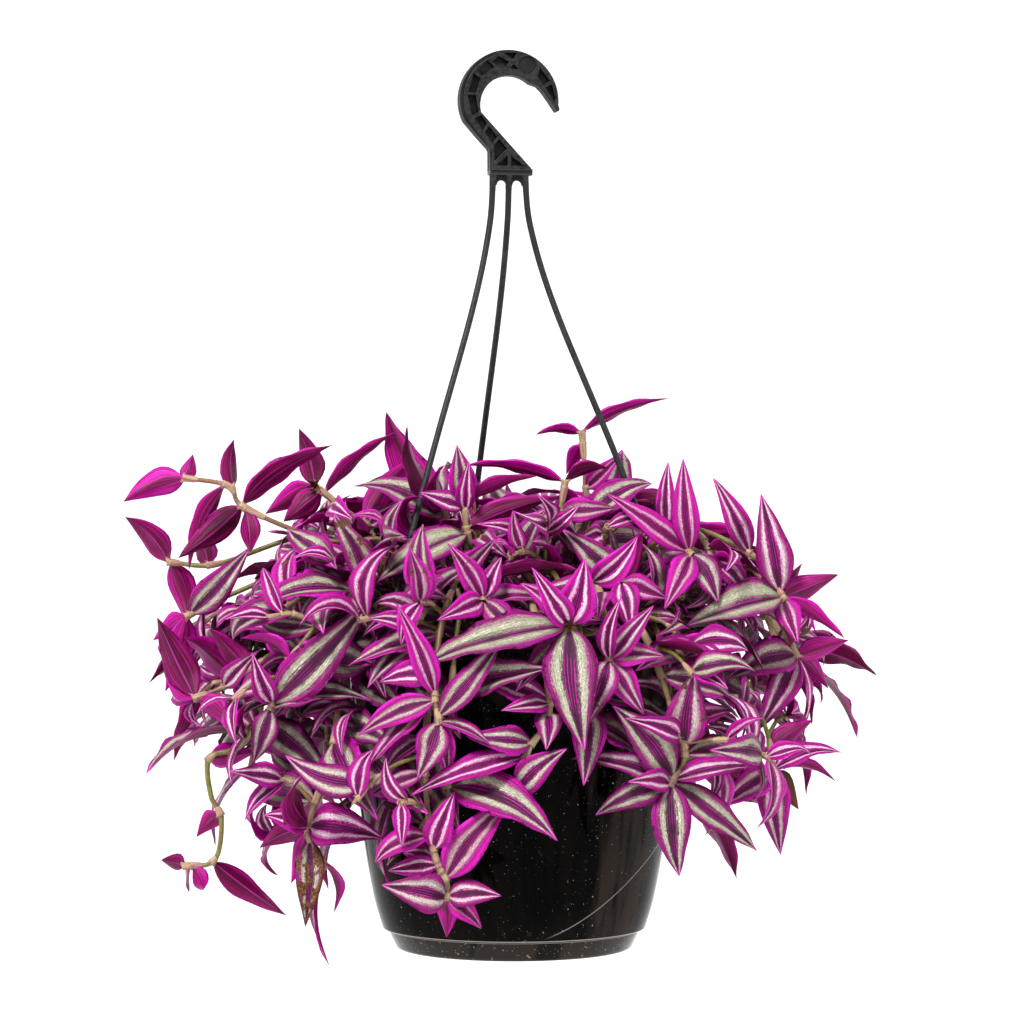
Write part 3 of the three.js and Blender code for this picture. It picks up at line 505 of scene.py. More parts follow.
@dataclass(frozen=True)
class GlossBlack:
    """Glossy black plastic of the pot, with dust specks and faint smears, a painted brownish reflection in a
    band down its right side, a painted highlight round the skirt's edge and a thin pale curved line on the
    front.
    """

    body: Rgb = (2, 2, 2)
    warm: Rgb = (16, 12, 10)
    speck: Rgb = (176, 172, 166)
    # Height of the skirt's edge, round which a painted highlight runs.
    joint: float = -424.9
    hair: tuple[float, float, float, float] = (22.0, -421.8, 4.2, 0.68)

    def make(self) -> bpy.types.Material:
        """Returns the material."""
        s = Shader("gloss_black")
        at = s.place((1, 1, 1))
        wide = s.noise(at, 0.02, 3.0)
        color = s.mix(s.step(wide, 0.45, 0.8), self.body, self.warm)
        dust = s.math("MAXIMUM", self._specks(s, at, 0.42, 5.0), self._specks(s, at, 1.0, 5.0))
        patch = s.step(s.noise(at, 0.024, 1.0), 0.36, 0.62)
        color = s.mix(s.times(dust, s.scaled(patch, 0.55, 0.18)), color, self.speck)
        bloom = s.step(s.noise(at, 0.22, 4.0, 0.75), 0.6, 0.8)
        color = s.mix(s.times(s.times(bloom, patch), 0.22), color, (120, 116, 116))
        split = s.node("ShaderNodeSeparateXYZ", {0: at})
        # Brownish streaks down the pot: faint smears all round, and a painted reflection in a band down the
        # right side, where they are much stronger.
        worn = s.step(s.noise(s.place((1, 1, 0.012)), 0.09, 2.0, 0.6), 0.36, 0.6)
        side = s.times(s.step(split.outputs[0], 36.0, 42.0), s.step(split.outputs[0], 80.0, 70.0))
        smear_and_reflection = s.times(worn, s.scaled(side, 0.62, 0.06))
        color = s.mix(smear_and_reflection, color, (54, 45, 40))
        # A pale line round the pot at the skirt's edge: a painted highlight where that edge catches light.
        joint = s.math("ABSOLUTE", s.math("SUBTRACT", split.outputs[2], self.joint))
        line = s.rest(s.step(joint, 0.1, 0.35))
        # A thin pale curved line on the front right of the pot, in the colour of the specks.
        run = s.times(s.math("SUBTRACT", split.outputs[0], self.hair[0]), 0.1)
        rise = s.times(run, s.scaled(run, self.hair[3], self.hair[2]))
        hair = s.math("ABSOLUTE", s.math("SUBTRACT", split.outputs[2], s.math("ADD", rise, self.hair[1])))
        front = s.math("LESS_THAN", split.outputs[1], 0.0)
        front = s.times(front, s.step(split.outputs[0], 16.0, 26.0))
        pale_curve = s.times(s.rest(s.step(hair, 0.12, 0.4)), front)
        mark = s.math("MAXIMUM", s.times(line, 0.75), s.times(pale_curve, 0.5))
        color = s.mix(mark, color, self.speck)
        smear = s.noise(s.place((1, 1, 0.2)), 0.08, 3.0)
        rough = s.math("ADD", s.scaled(s.step(smear, 0.4, 0.8), 0.08, 0.06), s.times(dust, 0.4))
        s.surface(Base_Color=color, Roughness=rough, Specular_IOR_Level=0.03)
        s.bump(s.noise(at, 0.035, 2.0), 0.25, 0.35)
        return s.material

    @staticmethod
    def _specks(s: Shader, at: Socket, scale: float, rarity: float) -> Socket:
        """Small specks of dust.

        Args:
            s: the shader.
            at: the coordinates.
            scale: how close together they may lie.
            rarity: how few of them show.
        Returns:
            1 in a speck and 0 elsewhere.
        """
        cells = s.node("ShaderNodeTexVoronoi", {"Vector": at, "Scale": scale, "Randomness": 1.0})
        keep = s.node("ShaderNodeSeparateColor", {0: cells.outputs["Color"]}).outputs[0]
        size = s.times(s.math("POWER", keep, rarity), 0.2)
        return s.math("LESS_THAN", cells.outputs["Distance"], size)


@dataclass(frozen=True)
class SmokyClear:
    """Smoky clear plastic of the drip saucer, with a painted highlight along the top of its lip."""

    body: Rgb = (10, 9, 8)
    cloud: Rgb = (44, 38, 34)
    speck: Rgb = (168, 140, 112)
    lip: float = -426.25

    def make(self) -> bpy.types.Material:
        """Returns the material."""
        s = Shader("smoky_clear")
        at = s.place((1, 1, 1))
        cloudy = s.noise(s.place((1, 1, 0.2)), 0.035, 3.0)
        color = s.mix(s.step(cloudy, 0.44, 0.5), self.body, self.cloud)
        grit = s.step(s.noise(at, 0.8, 2.0), 0.66, 0.7)
        color = s.mix(s.times(grit, 0.85), color, self.speck)
        # The top of the lip turns pale: a painted highlight where the clear rim catches light.
        height = s.node("ShaderNodeSeparateXYZ", {0: at}).outputs[2]
        edge = s.step(height, self.lip, self.lip + 0.25)
        color = s.mix(s.times(edge, 0.7), color, (176, 172, 166))
        rough = s.scaled(cloudy, 0.12, 0.05)
        s.surface(Base_Color=color, Roughness=rough, Specular_IOR_Level=0.1)
        s.bump(s.noise(at, 0.4, 1.0), 0.08, 0.3)
        return s.material


@dataclass(frozen=True)
class SatinMould:
    """Satin dark grey moulded plastic of the hanger, with a faint grain, paler edges that are partly worn and
    partly a painted highlight, a painted sheen on the ribs' faces and painted shade in the pockets.
    """

    body: Rgb = (12, 12, 13)
    # Colour of the paler edges: partly wear, partly a painted highlight.
    worn: Rgb = (104, 104, 106)
    face: float = 4.5
    web: float = 2.0
    turn: float = 0.2094

    def make(self) -> bpy.types.Material:
        """Returns the material."""
        s = Shader("satin_mould")
        at = s.place((1, 1, 1))
        grain = s.noise(at, 3.2, 3.0, 0.7)
        wide = s.noise(at, 0.12, 2.0)
        edge = s.node("ShaderNodeNewGeometry").outputs["Pointiness"]
        color = s.mix(s.step(wide, 0.35, 0.75), self.body, (28, 27, 29))
        # Paler convex edges: partly worn plastic, partly a painted highlight where the edges catch light.
        color = s.mix(s.times(s.step(edge, 0.52, 0.62), 0.55), color, self.worn)
        color = s.shaded(color, 0.8, 1.2, grain)
        x, y, z = s.node("ShaderNodeSeparateXYZ", {0: at}).outputs
        straight, turned = s.times(y, math.cos(self.turn)), s.times(x, math.sin(self.turn))
        depth = s.math("SUBTRACT", straight, turned)
        # The pocket floors, within web of the plate's middle on the hook, are darkened: painted shade in the
        # recesses between the ribs.
        floor = s.times(s.math("LESS_THAN", s.math("ABSOLUTE", depth), self.web),
                       s.math("GREATER_THAN", z, -46.0))
        # Lighter blotches on the outer faces of the ribs: a painted sheen.
        front = s.times(s.step(s.math("ABSOLUTE", depth), self.face - 0.4, self.face - 0.1),
                       s.step(s.noise(at, 0.55, 4.0, 0.75), 0.4, 0.6))
        color = s.mix(s.times(front, 0.5), color, (60, 60, 63))
        color = s.mix(s.times(floor, 0.7), color, (6, 6, 6))
        s.surface(Base_Color=color, Roughness=s.scaled(grain, 0.2, 0.36), Specular_IOR_Level=0.24)
        s.bump(grain, 0.12, 0.6)
        return s.material


@dataclass(frozen=True)
class PottingSoil:
    """Dark brown crumbly potting soil."""

    dark: Rgb = (30, 20, 14)
    light: Rgb = (92, 66, 46)

    def make(self) -> bpy.types.Material:
        """Returns the material."""
        s = Shader("potting_soil")
        at = s.place((1, 1, 1))
        crumbs = s.noise(at, 0.7, 5.0, 0.7)
        color = s.ramp(crumbs, ((0.3, self.dark), (0.55, (54, 37, 26)), (0.75, self.light)))
        flecks = s.step(s.noise(at, 1.9, 1.0), 0.68, 0.74)
        color = s.mix(s.times(flecks, 0.6), color, (160, 140, 116))
        s.surface(Base_Color=color, Roughness=0.95)
        s.bump(crumbs, 1.2, 1.0)
        return s.material


@dataclass(frozen=True)
class PaleBackdrop:
    """Pale matt paper of the floor and the wall round it, which glows, more brightly on the far side: painted
    light.
    """

    color: Rgb = (252, 252, 252)
    dim: float = 0.28
    bright: float = 0.9

    def make(self) -> bpy.types.Material:
        """Returns the material."""
        s = Shader("pale_backdrop")
        where = s.node("ShaderNodeSeparateXYZ", {0: s.place((1, 1, 1))}).outputs[1]
        # The glow is painted light, dim on the camera's side and bright on the far side.
        glow = s.node("ShaderNodeMapRange", {
            "Value": where, "From Min": -2600.0, "From Max": 600.0, "To Min": self.dim, "To Max": self.bright,
        }, interpolation_type="SMOOTHSTEP").outputs[0]
        s.surface(Base_Color=(0.42, 0.42, 0.42, 1), Roughness=0.9)
        s.surface(Emission_Color=linear(self.color), Emission_Strength=glow)
        return s.material


class Finish(Enum):
    """The finishes of this object, each made once."""

    LEAF_UPPER = LeafUpper()
    LEAF_UNDER = LeafUnder()
    STEM = StemSkin()
    SHEATH = SheathSkin()
    HAIR = HairSkin()
    POT = GlossBlack()
    SAUCER = SmokyClear()
    HANGER = SatinMould()
    SOIL = PottingSoil()
    BACKDROP = PaleBackdrop()

    def material(self) -> bpy.types.Material:
        """The finish's material, made at its first use."""
        if self not in MADE:
            MADE[self] = self.value.make()
        return MADE[self]


MADE: dict[Finish, bpy.types.Material] = {}


# --- meshes ---------------------------------------------------------------------------------


class Skin(Enum):
    """Material slots of a leafy stem's mesh."""

    UPPER = 0
    UNDER = 1
    STEM = 2
    SHEATH = 3
    HAIR = 4


PLANT_FINISHES = (Finish.LEAF_UPPER, Finish.LEAF_UNDER, Finish.STEM, Finish.SHEATH, Finish.HAIR)


@dataclass
class Heap:
    """Pieces gathered into one mesh: points in millimetres, faces, slots, a UV map and growth."""

    points: list[Array] = field(default_factory=list)
    faces: list[tuple[int, ...]] = field(default_factory=list)
    slots: list[int] = field(default_factory=list)
    blade: list[Array] = field(default_factory=list)
    growth: list[Array] = field(default_factory=list)
    count: int = 0

    def add(self, points: Array, faces: Sequence[tuple[int, ...]], slots: Sequence[int] | int,
            growth: Array, blade: Array | None = None) -> None:
        """Adds one piece.

        Args:
            points: its points, one in a row.
            faces: its faces, by the piece's own point numbers.
            slots: the material slot of each face, or one for all.
            growth: three values for each point, or one row for all.
            blade: the place of each point along and across a blade.
        """
        size = len(points)
        self.points.append(points)
        self.faces.extend(tuple(self.count + i for i in face) for face in faces)
        self.slots.extend([slots] * len(faces) if isinstance(slots, int) else slots)
        self.growth.append(np.broadcast_to(growth, (size, 3)))
        self.blade.append(np.zeros((size, 2)) if blade is None else blade)
        self.count += size

    def mesh(self, name: str, room: "Room") -> bpy.types.Mesh:
        """Makes the mesh.

        Args:
            name: the mesh's name.
            room: the space round the plant, which knows what lies in the shade.
        Returns:
            A smooth mesh in metres with the plant's materials.
        """
        made = bpy.data.meshes.new(name)
        made.from_pydata(np.concatenate(self.points) * MM, [], self.faces)
        made.polygons.foreach_set("material_index", self.slots)
        made.polygons.foreach_set("use_smooth", [True] * len(self.faces))
        growth = made.attributes.new("growth", "FLOAT_VECTOR", "POINT")
        growth.data.foreach_set("vector", np.concatenate(self.growth).astype(np.float32).ravel())
        shade = made.attributes.new("shade", "FLOAT", "POINT")
        shade.data.foreach_set("value", room.shade(np.concatenate(self.points)).astype(np.float32))
        corners = np.empty(len(made.loops), np.int32)
        made.loops.foreach_get("vertex_index", corners)
        layer = made.uv_layers.new(name="blade")
        layer.data.foreach_set("uv", np.concatenate(self.blade)[corners].astype(np.float32).ravel())
        for finish in PLANT_FINISHES:
            made.materials.append(finish.material())
        made.validate()
        return made


def shown(name: str, mesh: bpy.types.Mesh, slot: str, *nodes: str) -> bpy.types.Object:
    """Puts a mesh in the scene as a finished piece.

    Args:
        name: the piece's name.
        mesh: its mesh, in place.
        slot: the record's material slot of the piece, which is not used.
        nodes: the CAD nodes that it replaces.
    Returns:
        The piece's object.
    """
    made = bpy.data.objects.new(name, mesh)
    bpy.context.scene.collection.objects.link(made)
    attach(made, "root")
    if nodes:
        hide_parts(*nodes)
    LOG.info("%s: %d faces", name, len(mesh.polygons))
    return made


def grid_faces(rows: int, columns: int, closed: bool = False) -> list[tuple[int, int, int, int]]:
    """Quads between rows of points.

    Args:
        rows: how many rows there are.
        columns: how many points a row has.
        closed: whether each row runs round to its first point.
    Returns:
        The faces.
    """
    wide = columns if closed else columns - 1
    faces = []
    for i in range(rows - 1):
        for j in range(wide):
            k = (j + 1) % columns
            faces.append((i * columns + j, i * columns + k, (i + 1) * columns + k, (i + 1) * columns + j))
    return faces


class Modifier:
    """A Geometry Nodes tree with named inputs that is applied to a mesh."""

    def __init__(self, name: str, inputs: dict[str, tuple[str, object]]) -> None:
        """Args: name: the tree's name. inputs: the socket type and the value of each named input."""
        group = bpy.data.node_groups.new(name, "GeometryNodeTree")
        self.tree = NodeTree(group)
        face = group.interface
        face.new_socket("Geometry", in_out="INPUT", socket_type="NodeSocketGeometry")
        self.values = {}
        for label, (kind, value) in inputs.items():
            made = face.new_socket(label, in_out="INPUT", socket_type="NodeSocket" + kind)
            self.values[label] = (made.identifier, value)
        face.new_socket("Geometry", in_out="OUTPUT", socket_type="NodeSocketGeometry")
        self.given = self.tree.node("NodeGroupInput").outputs
        self.group = group

    def node(self, kind: str, inputs: Inputs | None = None, **settings: object) -> bpy.types.Node:
        """Adds a node to the tree, as NodeTree.node does."""
        return self.tree.node(kind, inputs, **settings)

    def finish(self, geometry: Socket) -> None:
        """Ends the tree in Realize Instances and Set Material. Args: geometry: what the tree has made."""
        solid = self.node("GeometryNodeRealizeInstances", {0: geometry})
        smooth = self.node("GeometryNodeSetShadeSmooth", {0: solid.outputs[0]})
        finish = {0: smooth.outputs[0], "Material": self.given["Material"]}
        dressed = self.node("GeometryNodeSetMaterial", finish)
        self.node("NodeGroupOutput", {0: dressed.outputs[0]})

    def apply(self, base: bpy.types.Mesh, **changes: object) -> bpy.types.Mesh:
        """Runs the tree on a mesh.

        Args:
            base: the mesh that goes in, which is deleted afterwards.
            changes: values for named inputs, in place of the ones given at first.
        Returns:
            The result as a plain mesh.
        """
        holder = bpy.data.objects.new("holder", base)
        bpy.context.scene.collection.objects.link(holder)
        modifier = holder.modifiers.new("nodes", "NODES")
        modifier.node_group = self.group
        for label, (identifier, value) in self.values.items():
            modifier[identifier] = changes.get(label, value)
        graph = bpy.context.evaluated_depsgraph_get()
        made = bpy.data.meshes.new_from_object(
            holder.evaluated_get(graph), preserve_all_data_layers=True, depsgraph=graph)
        holder.modifiers.remove(modifier)
        bpy.data.objects.remove(holder)
        bpy.data.meshes.remove(base)
        return made


class Tube(Modifier):
    """Round rod along each line of a mesh, as thick as the line's attribute thickness says."""

    def __init__(self, finish: Finish, sides: int) -> None:
        """Args: finish: the rod's finish. sides: the facets round it."""
        super().__init__("tube_along_line", {
            "Material": ("Material", finish.material()),
            "Sides": ("Int", sides),
        })
        curve = self.node("GeometryNodeMeshToCurve", {0: self.given["Geometry"]})
        circle = {"Resolution": self.given["Sides"], "Radius": 1.0}
        ring = self.node("GeometryNodeCurvePrimitiveCircle", circle)
        thick = self.node("GeometryNodeInputNamedAttribute", {"Name": "thickness"}, data_type="FLOAT")
        swept = self.node("GeometryNodeCurveToMesh", {
            "Curve": curve.outputs[0], "Profile Curve": ring.outputs[0],
            "Scale": thick.outputs[0], "Fill Caps": True,
        })
        self.finish(swept.outputs[0])

    def along(self, points: Array, thickness: Array, **values: Array) -> bpy.types.Mesh:
        """Makes a rod.

        Args:
            points: the line's points in millimetres, one in a row.
            thickness: the rod's radius at each point, in millimetres.
            values: other numbers at each point, kept as attributes.
        Returns:
            The rod's mesh, in metres.
        """
        line = bpy.data.meshes.new("line")
        line.from_pydata(points * MM, [(i, i + 1) for i in range(len(points) - 1)], [])
        for name, numbers in {"thickness": thickness * MM, **values}.items():
            made = line.attributes.new(name, "FLOAT", "POINT")
            made.data.foreach_set("value", np.asarray(numbers, np.float32))
        return self.apply(line)


class Hairs(Modifier):
    """Short hairs that stand on a mesh's faces and lean the way its attribute lean gives."""

    def __init__(self) -> None:
        """Builds the tree."""
        super().__init__("hairs_on_mouth", {
            "Material": ("Material", Finish.HAIR.material()),
            "Density": ("Float", 6.0e5),
            "Length": ("Float", 1.9 * MM),
            "Thickness": ("Float", 0.07 * MM),
            "Seed": ("Int", 7),
        })
        given = self.given
        spread = self.node("GeometryNodeDistributePointsOnFaces", {
            "Mesh": given["Geometry"], "Density": given["Density"], "Seed": given["Seed"]})
        lean = self.node("GeometryNodeInputNamedAttribute", {"Name": "lean"}, data_type="FLOAT_VECTOR")
        stray = self.node("FunctionNodeRandomValue", {
            0: (-0.35, -0.35, -0.35), 1: (0.35, 0.35, 0.35), "Seed": given["Seed"]}, data_type="FLOAT_VECTOR")
        half = self.node("ShaderNodeVectorMath", {
            0: spread.outputs["Normal"], 1: lean.outputs[0]}, operation="ADD")
        way = self.node("ShaderNodeVectorMath", {0: half.outputs[0], 1: stray.outputs[0]}, operation="ADD")
        turn = self.node("FunctionNodeAlignRotationToVector", {"Vector": way.outputs[0]}, axis="Z")
        cone = self.node("GeometryNodeMeshCone", {
            "Vertices": 3, "Radius Bottom": given["Thickness"], "Depth": given["Length"]})
        size = self.node("FunctionNodeRandomValue", {
            2: 0.5, 3: 1.1, "Seed": given["Seed"]}, data_type="FLOAT")
        hair = self.node("GeometryNodeInstanceOnPoints", {
            "Points": spread.outputs["Points"], "Instance": cone.outputs["Mesh"],
            "Rotation": turn.outputs[0], "Scale": size.outputs[1]})
        self.finish(hair.outputs[0])


# --- the plant's plan -----------------------------------------------------------------------


class Facing(Enum):
    """Which way the upper side of a leaf looks."""

    FRONT = (0, -1, 0.25)
    FRONT_UP = (0, -0.75, 0.65)
    UP = (0, -0.4, 0.9)
    UP_BACK = (0, 0.55, 0.8)
    BACK = (0, 1, 0.3)
    LEFT = (-1, -0.25, 0.2)
    LEFT_BACK = (-0.7, 0.7, 0.2)
    RIGHT = (1, -0.25, 0.2)
    RIGHT_BACK = (0.8, 0.6, 0.1)


BladeRow = tuple[float, float, float, float, float, float, Facing]


@dataclass(frozen=True)
class SeenStem:
    """A stem that the viewer sees.

    route holds points [across, up, depth], and blades rows of [base across, base up, tip across,
    tip up, tip depth past the base, width, facing]. root is its distance from the pot's axis.
    """

    root: float
    route: tuple[tuple[float, float, float], ...]
    blades: tuple[BladeRow, ...]


@dataclass(frozen=True)
class Tier:
    """Stems spread evenly between two directions, in degrees round the pot from the front."""

    name: str
    count: int
    directions: tuple[float, float]
    root: float
    crest: tuple[float, float]
    reach: tuple[float, float]
    height: tuple[float, float]
    blades: int
    lean: float


SEEN_STEMS: dict[str, SeenStem] = {
    "front_centre": SeenStem(
        root=44,
        route=(
            (20, -246, -70), (27, -258, -98), (30, -275, -110),
        ),
        blades=(
            (30, -277, 38, -338, -10, 27, Facing.FRONT), (27, -277, -48, -295, -4, 24, Facing.FRONT_UP),
            (31, -276, 38, -241, -8, 20, Facing.FRONT), (30, -275, 11, -244, -6, 15, Facing.FRONT),
            (26, -272, 5, -253, 2, 13, Facing.FRONT),
        ),
    ),
    "right_star": SeenStem(
        root=66,
        route=(
            (56, -264, -60), (70, -284, -84), (84, -325, -92), (88, -340, -92), (81, -354, -94),
        ),
        blades=(
            (82, -355, 85.5, -401, 0, 20, Facing.FRONT), (84, -355, 125, -387, 4, 18, Facing.FRONT),
            (80, -350, 51.5, -314, -6, 22, Facing.FRONT),
            (80, -353, 30.5, -340, -4, 16, Facing.FRONT_UP), (80, -359, 43, -370, -6, 16, Facing.FRONT),
            (82, -352, 127, -345, 0, 14, Facing.FRONT_UP), (80, -356, 59, -353, -14, 12, Facing.FRONT),
            (88, -336, 92.5, -296, 2, 22, Facing.FRONT),
        ),
    ),
    "front_low_left": SeenStem(
        root=66,
        route=(
            (-30, -266, -72), (-36, -284, -97), (-42, -340, -106), (-38, -386, -104), (-31, -403, -101),
            (-31, -411, -100),
        ),
        blades=(
            (-31, -412, -65, -404, -6, 21, Facing.FRONT), (-31, -410, -3.5, -410, -6, 15, Facing.FRONT),
            (-32, -401, 3, -359, -6, 20, Facing.FRONT), (-37, -386, -27, -357, -8, 15, Facing.FRONT),
            (-31, -411, -13, -427, -4, 12, Facing.FRONT), (-37, -391, -54.5, -387, 4, 12, Facing.FRONT),
            (-36, -394, -62, -397, 6, 12, Facing.FRONT), (-31, -412, -31, -431, 4, 11, Facing.BACK),
        ),
    ),
    "left_star": SeenStem(
        root=66,
        route=(
            (-64, -262, -42), (-80, -284, -64), (-88, -335, -82), (-100, -375, -80), (-95, -388, -80),
            (-92, -396, -79),
        ),
        blades=(
            (-100, -375, -62, -381, -16, 24, Facing.FRONT),
            (-100, -375, -107, -349, -6, 22, Facing.FRONT),
            (-100, -375, -123, -369, -6, 14, Facing.FRONT),
            (-99, -381, -102, -426, -4, 16, Facing.FRONT), (-100, -376, -125, -386, 4, 14, Facing.BACK),
            (-101, -377, -109, -404, 6, 11, Facing.BACK), (-92, -395, -90, -446, 0, 11, Facing.LEFT),
            (-93, -392, -86, -419, 4, 12, Facing.RIGHT_BACK),
        ),
    ),
    "front_mid": SeenStem(
        root=54,
        route=(
            (-24, -250, -66), (-33, -270, -98), (-37, -305, -110), (-35, -323, -112),
        ),
        blades=(
            (-35, -325, -46, -352, -8, 17, Facing.FRONT), (-37, -321, -1.5, -279, -8, 15, Facing.FRONT),
            (-34, -325, -9, -334, -4, 13, Facing.UP), (-38, -309, -56, -262, -2, 14, Facing.FRONT),
            (-38, -312, -76, -330, 6, 15, Facing.FRONT),
        ),
    ),
    "front_low": SeenStem(
        root=56,
        route=(
            (8, -254, -64), (14, -274, -96), (20, -317, -102), (9, -338, -104), (4, -358, -104),
        ),
        blades=(
            (4, -357, 29, -336, -8, 17, Facing.FRONT), (8, -340, -52, -360, 0, 15, Facing.FRONT_UP),
            (19, -314, -2, -315, -4, 12, Facing.FRONT), (4, -358, -17, -362, -6, 12, Facing.FRONT),
            (4, -358, 12, -371, 2, 12, Facing.FRONT), (20, -318, 18, -338, -12, 16, Facing.FRONT),
        ),
    ),
    "centre_left": SeenStem(
        root=58,
        route=(
            (-70, -252, -52), (-96, -275, -72), (-112, -296, -80), (-119, -316, -80),
        ),
        blades=(
            (-119, -314, -68, -261, -16, 23, Facing.FRONT),
            (-117, -318, -68, -312, -10, 19, Facing.FRONT_UP),
            (-118, -314, -130, -288, 2, 14, Facing.FRONT),
            (-119, -317, -128, -344, 4, 14, Facing.FRONT),
            (-108, -292, -134, -280, 4, 15, Facing.UP_BACK),
        ),
    ),
    "left_hang": SeenStem(
        root=70,
        route=(
            (-72, -264, -34), (-96, -290, -46), (-122, -321, -46), (-136, -336, -40), (-150, -341, -38),
            (-149, -360, -38), (-144, -370, -38), (-145, -387, -38), (-150, -394, -38),
            (-162, -395, -38),
        ),
        blades=(
            (-124, -321, -86, -356, -26, 20, Facing.FRONT),
            (-149, -342, -124, -335, -6, 15, Facing.BACK),
            (-148, -393, -111, -420, 0, 13, Facing.LEFT_BACK),
            (-145, -369, -155, -381, 0, 11, Facing.BACK), (-162, -395, -174, -392, -2, 10, Facing.BACK),
            (-160, -395, -160, -409, 4, 10, Facing.LEFT), (-158, -395, -151, -407, -6, 10, Facing.BACK),
        ),
    ),
    "right_edge": SeenStem(
        root=52,
        route=(
            (88, -226, -34), (116, -236, -42), (130, -248, -46), (137, -261, -48),
        ),
        blades=(
            (134, -262, 88, -275, -10, 26, Facing.FRONT_UP),
            (137, -258, 126, -208, -4, 19, Facing.FRONT), (118, -240, 102, -200, -4, 14, Facing.FRONT),
            (138, -260, 165, -249, 4, 14, Facing.BACK), (138, -261, 168, -281, 0, 12, Facing.UP_BACK),
            (135, -263, 145, -284, -8, 14, Facing.FRONT), (138, -260, 146, -243, 8, 10, Facing.BACK),
        ),
    ),
    "right_high": SeenStem(
        root=36,
        route=(
            (60, -222, -36), (78, -228, -46), (91, -239, -54),
        ),
        blades=(
            (88, -239, 48, -208, -2, 14, Facing.FRONT), (91, -237, 87, -190, 2, 14, Facing.FRONT),
            (76, -227, 80, -192, 6, 11, Facing.FRONT), (91, -240, 105, -264, -8, 18, Facing.FRONT),
            (90, -240, 78, -268, -10, 16, Facing.FRONT),
        ),
    ),
    "centre_right": SeenStem(
        root=56,
        route=(
            (42, -250, -62), (48, -270, -90), (50, -292, -98),
        ),
        blades=(
            (50, -292, 73, -264, -4, 13, Facing.FRONT), (50, -292, 54, -262, 4, 12, Facing.FRONT),
            (50, -290, 78, -290, -4, 14, Facing.FRONT), (50, -294, 68, -320, 0, 15, Facing.FRONT),
        ),
    ),
    "right_mid": SeenStem(
        root=60,
        route=(
            (104, -248, -12), (130, -266, -20), (144, -290, -22),
        ),
        blades=(
            (141, -291, 108, -302, -12, 22, Facing.FRONT), (143, -292, 124, -328, -8, 18, Facing.FRONT),
            (144, -290, 170, -282, 2, 13, Facing.BACK), (143, -292, 143, -333, 6, 14, Facing.RIGHT),
            (142, -284, 126, -270, 2, 14, Facing.UP), (144, -290, 160, -306, 2, 12, Facing.BACK),
        ),
    ),
    "right_low": SeenStem(
        root=70,
        route=(
            (90, -262, -18), (112, -292, -32), (128, -325, -38), (132, -347, -40),
        ),
        blades=(
            (132, -348, 167, -337, 0, 15, Facing.FRONT_UP),
            (130, -350, 136, -390, -4, 17, Facing.FRONT), (131, -350, 104, -366, -8, 17, Facing.FRONT),
            (132, -348, 145, -367, 4, 12, Facing.BACK), (132, -348, 164, -352, 8, 11, Facing.UP_BACK),
            (130, -338, 152, -322, 2, 13, Facing.BACK),
        ),
    ),
    "left_low": SeenStem(
        root=62,
        route=(
            (-84, -262, -22), (-118, -288, -34), (-140, -304, -40), (-157, -311, -42),
        ),
        blades=(
            (-157, -311, -176, -270, -4, 18, Facing.BACK),
            (-156, -311, -138, -327, -4, 15, Facing.BACK),
            (-143, -305, -125, -287, -12, 12, Facing.FRONT),
            (-130, -296, -150, -276, -2, 14, Facing.BACK),
            (-157, -311, -172, -296, 8, 14, Facing.LEFT_BACK),
        ),
    ),
    "left_back": SeenStem(
        root=60,
        route=(
            (-98, -244, -2), (-136, -258, -12), (-161, -270, -16),
        ),
        blades=(
            (-160, -268, -129, -235, -14, 17, Facing.FRONT),
            (-161, -270, -172, -308, -2, 15, Facing.BACK),
            (-152, -266, -146, -296, -8, 14, Facing.LEFT), (-161, -270, -178, -282, 6, 13, Facing.BACK),
        ),
    ),
    "left_mid": SeenStem(
        root=46,
        route=(
            (-100, -230, 6), (-146, -244, 2), (-170, -243, 0),
        ),
        blades=(
            (-170, -243, -192.5, -220, -4, 14, Facing.BACK),
            (-169, -244, -161, -275, -4, 15, Facing.BACK), (-150, -245, -158, -222, 2, 13, Facing.BACK),
        ),
    ),
    "left_high": SeenStem(
        root=48,
        route=(
            (-62, -232, -26), (-92, -232, -28), (-132, -216, -28), (-140, -205, -28), (-162, -201, -28),
        ),
        blades=(
            (-163, -201, -193, -213, -2, 16, Facing.BACK),
            (-133, -214, -88, -184, 6, 17, Facing.UP_BACK),
            (-134, -216, -166, -241, -6, 16, Facing.BACK),
            (-142, -204, -161, -247, -2, 13, Facing.LEFT_BACK),
            (-138, -206, -138, -181, 2, 12, Facing.LEFT_BACK),
            (-132, -217, -129, -238, -4, 12, Facing.BACK), (-162, -201, -158, -189, 4, 9, Facing.BACK),
        ),
    ),
    "left_upper": SeenStem(
        root=30,
        route=(
            (-44, -224, 8), (-70, -224, 8), (-97, -205, 8),
        ),
        blades=(
            (-97, -205, -105, -176, 0, 14, Facing.BACK), (-91, -207, -56, -177, 6, 12, Facing.UP_BACK),
            (-72, -222, -46, -190, 2, 14, Facing.BACK), (-94, -208, -113, -223, -8, 14, Facing.BACK),
            (-98, -205, -122, -219, 6, 14, Facing.BACK), (-70, -224, -54, -212, -10, 11, Facing.FRONT),
        ),
    ),
    "top_left": SeenStem(
        root=26,
        route=(
            (-16, -244, -42), (-21, -228, -48), (-22, -213, -48),
        ),
        blades=(
            (-22, -229, -67, -253, -10, 23, Facing.FRONT_UP),
            (-22, -213, -26, -184, -2, 15, Facing.FRONT), (-22, -226, 24, -210, -2, 14, Facing.BACK),
            (-22, -216, -45, -208, -2, 12, Facing.FRONT), (-21, -218, -19, -193, 4, 11, Facing.FRONT),
            (-22, -214, 14, -200, 4, 12, Facing.UP_BACK),
        ),
    ),
    "top_mid": SeenStem(
        root=14,
        route=(
